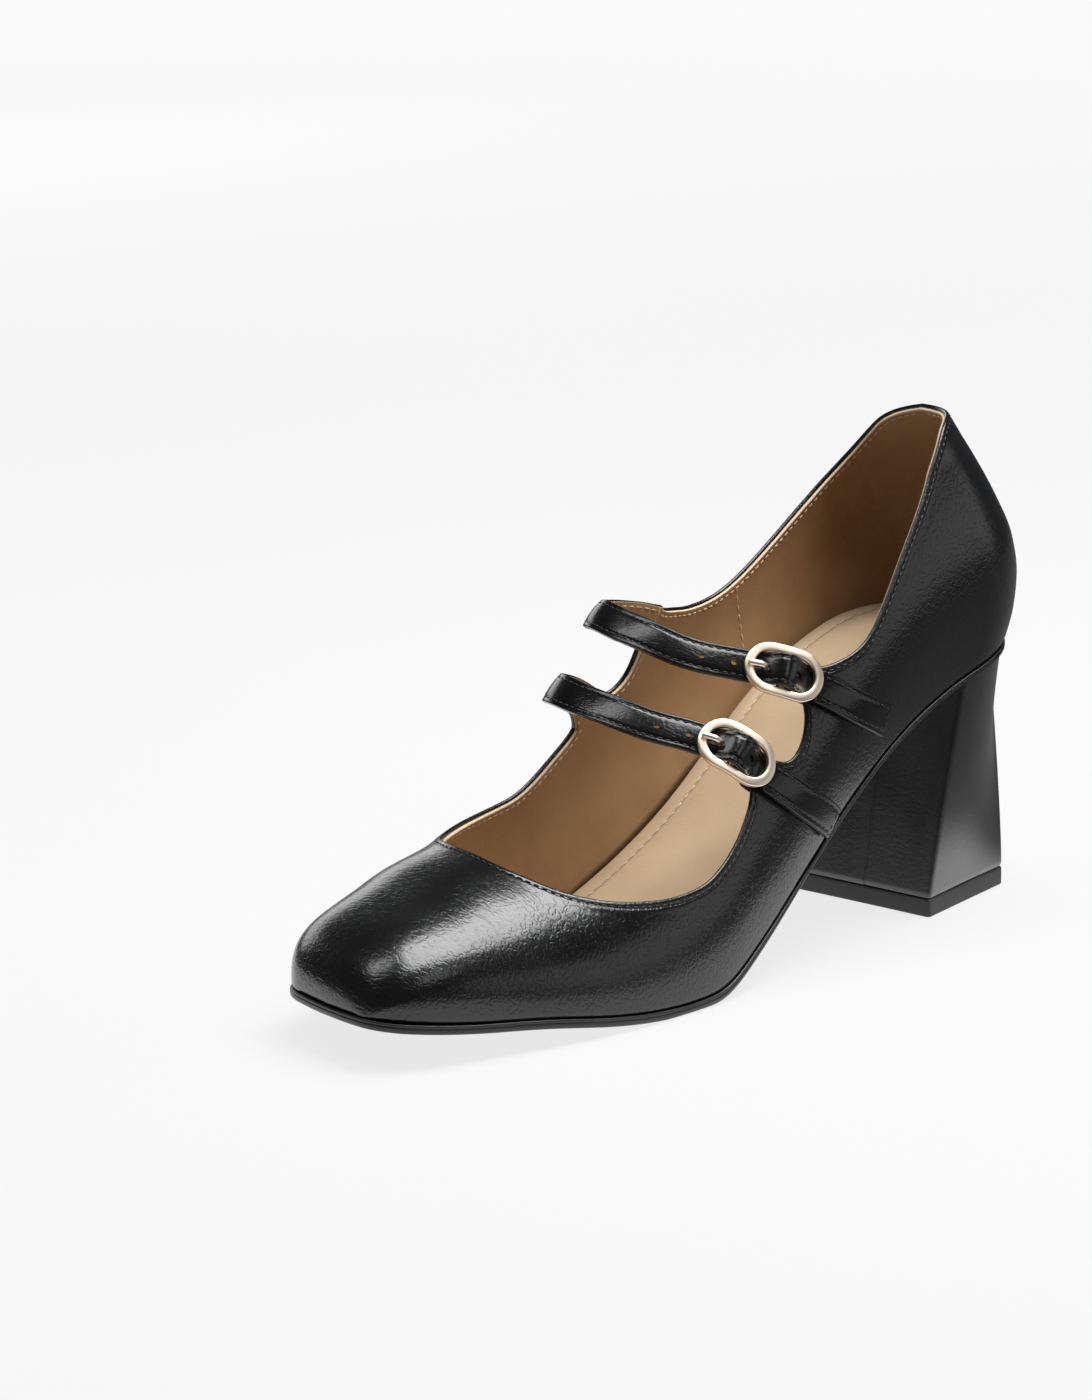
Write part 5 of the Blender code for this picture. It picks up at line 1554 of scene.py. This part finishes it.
@dataclass(frozen=True)
class Studio:
    """Pale floor, soft lights and the camera at the photograph's angle."""

    azimuth: float = 43.0
    elevation: float = 12.7
    roll: float = -0.3
    distance: float = 1.370
    lens: float = 151.2
    aside: float = -0.0209
    above: float = 0.0232
    floor_glow: float = 0.79
    # Glow of the painted pool of light that reflections see on the floor round the shoe
    painted_pool_glow: float = 1.10
    backdrop: float = 0.947
    room: float = 0.07

    def build(self) -> None:
        """Set up the floor, world, lights and camera."""
        self.floor()
        self.world()
        self.lights()
        self.camera()

    def floor(self) -> None:
        """Plain pale floor with its own light.

        The camera sees it even and near white. Reflections see a painted pool of light round the shoe: the
        floor glows brightly there for every ray but the camera's, and dimly beyond.
        """
        size = 30.0
        points = np.array([(-size, -size, 0.0), (size, -size, 0.0), (size, size, 0.0), (-size, size, 0.0)])
        floor = make_mesh("floor", points - (0.0, 0.0, 0.0002), [np.array([[0, 1, 2, 3]])], False)
        material = bpy.data.materials.new("pale_floor")
        material.use_nodes = True
        kit = Tree(material.node_tree)
        shader = material.node_tree.nodes["Principled BSDF"]
        place = kit.add("ShaderNodeTexCoord").outputs["Object"]
        cloud = kit.add("ShaderNodeTexNoise", {"Vector": place, "Scale": 3.0})
        colour = kit.mix(cloud.outputs["Fac"], (0.10, 0.10, 0.10, 1.0), (0.11, 0.11, 0.11, 1.0))
        material.node_tree.links.new(colour, shader.inputs["Base Color"])
        shader.inputs["Roughness"].default_value = 0.9
        shader.inputs["Specular IOR Level"].default_value = 0.0
        shader.inputs["Emission Color"].default_value = (1.0, 1.0, 1.0, 1.0)
        seen = kit.add("ShaderNodeLightPath").outputs["Is Camera Ray"]
        apart = kit.add("ShaderNodeVectorMath", {0: place, 1: (-0.03, -0.15, 0.0)}, operation="DISTANCE")
        # Painted pool of light: for all rays but the camera's the floor glows brightly within about 0.2 m of
        # the shoe and dimly beyond, a glow no lamp casts
        painted_light_pool = kit.ramp(apart.outputs["Value"], 0.18, 0.23, self.painted_pool_glow, 0.03)
        evened = kit.ramp(apart.outputs["Value"], 0.5, 2.2, self.floor_glow, self.backdrop - 0.01)
        glow = kit.add("ShaderNodeMix", data_type="FLOAT")
        for index, value in ((0, seen), (2, painted_light_pool), (3, evened)):
            material.node_tree.links.new(value, glow.inputs[index])
        material.node_tree.links.new(glow.outputs[0], shader.inputs["Emission Strength"])
        floor.data.materials.append(material)

    def world(self) -> None:
        """Near-white backdrop to the camera, dim room to everything else."""
        world = bpy.data.worlds.new("studio")
        bpy.context.scene.world = world
        world.use_nodes = True
        kit = Tree(world.node_tree)
        world.node_tree.nodes.clear()
        seen = kit.add("ShaderNodeLightPath").outputs["Is Camera Ray"]
        room = kit.add("ShaderNodeBackground", {"Color": (0.9, 0.93, 1.0, 1.0), "Strength": self.room})
        back = kit.add("ShaderNodeBackground", {"Color": (1.0, 1.0, 1.0, 1.0), "Strength": self.backdrop})
        mix = kit.add("ShaderNodeMixShader", {0: seen, 1: room.outputs[0], 2: back.outputs[0]})
        kit.add("ShaderNodeOutputWorld", {"Surface": mix.outputs[0]})

    @staticmethod
    def softbox(name: str, direction: tuple, distance: float, size: tuple, power: float,
                target: tuple = (0.0, -0.11, 0.03), tint: tuple = (1.0, 1.0, 1.0)) -> None:
        """Oblong area light looking at the shoe from a direction."""
        data = bpy.data.lights.new(name, "AREA")
        data.shape = "RECTANGLE"
        data.size, data.size_y = size
        data.energy = power
        data.color = tint
        light = bpy.data.objects.new(name, data)
        bpy.context.scene.collection.objects.link(light)
        way = Vector(direction).normalized()
        light.location = Vector(target) + way * distance
        light.rotation_mode = "QUATERNION"
        light.rotation_quaternion = way.to_track_quat("Z", "Y")

    def lights(self) -> None:
        """Big box above the shoe, a narrow one above the toe, low side cards and one for the buckles."""
        self.softbox("key_above", (0.13, 0.28, 0.95), 1.2, (0.75, 0.95), 24.0)
        self.softbox("strip_front", (-0.33, -0.36, 0.87), 1.2, (0.24, 0.62), 2.6)
        self.softbox("card_left", (-0.91, 0.33, 0.24), 1.6, (1.2, 0.5), 3.4)
        self.softbox("card_right", (0.70, 0.62, 0.20), 1.6, (1.5, 0.5), 1.8)
        self.softbox("card_buckle", (0.72, 0.07, 0.69), 1.4, (0.5, 0.42), 1.2)

    def camera(self) -> None:
        """Camera turned to the photograph's angle and shifted along its own axes."""
        a, e, r = (math.radians(v) for v in (self.azimuth, self.elevation, self.roll))
        ahead = Vector((-math.sin(a) * math.cos(e), math.cos(a) * math.cos(e), -math.sin(e)))
        right = Vector((math.cos(a), math.sin(a), 0.0))
        up = right.cross(ahead)
        target = Vector((0.0, -0.100, 0.040))
        turned_right = right * math.cos(r) + up * math.sin(r)
        turned_up = up * math.cos(r) - right * math.sin(r)
        target = target + turned_right * self.aside + turned_up * self.above
        place = target - ahead * self.distance
        data = bpy.data.cameras.new("camera")
        data.lens = self.lens
        data.sensor_width = 36.0
        data.clip_start, data.clip_end = 0.01, 100.0
        camera = bpy.data.objects.new("camera", data)
        bpy.context.scene.collection.objects.link(camera)
        turn = Matrix((turned_right, turned_up, -ahead)).transposed()
        camera.matrix_world = Matrix.Translation(place) @ turn.to_4x4()
        bpy.context.scene.camera = camera


def main() -> None:
    """Build the pieces in order."""
    logging.basicConfig(level=logging.INFO)
    bpy.context.scene.view_settings.view_transform = "Standard"
    Upper().build()
    Outsole().build()
    Sock().build()
    Heel().build()
    for strap in STRAPS:
        strap.build()
    Studio().build()


if __name__ == "__main__":
    main()
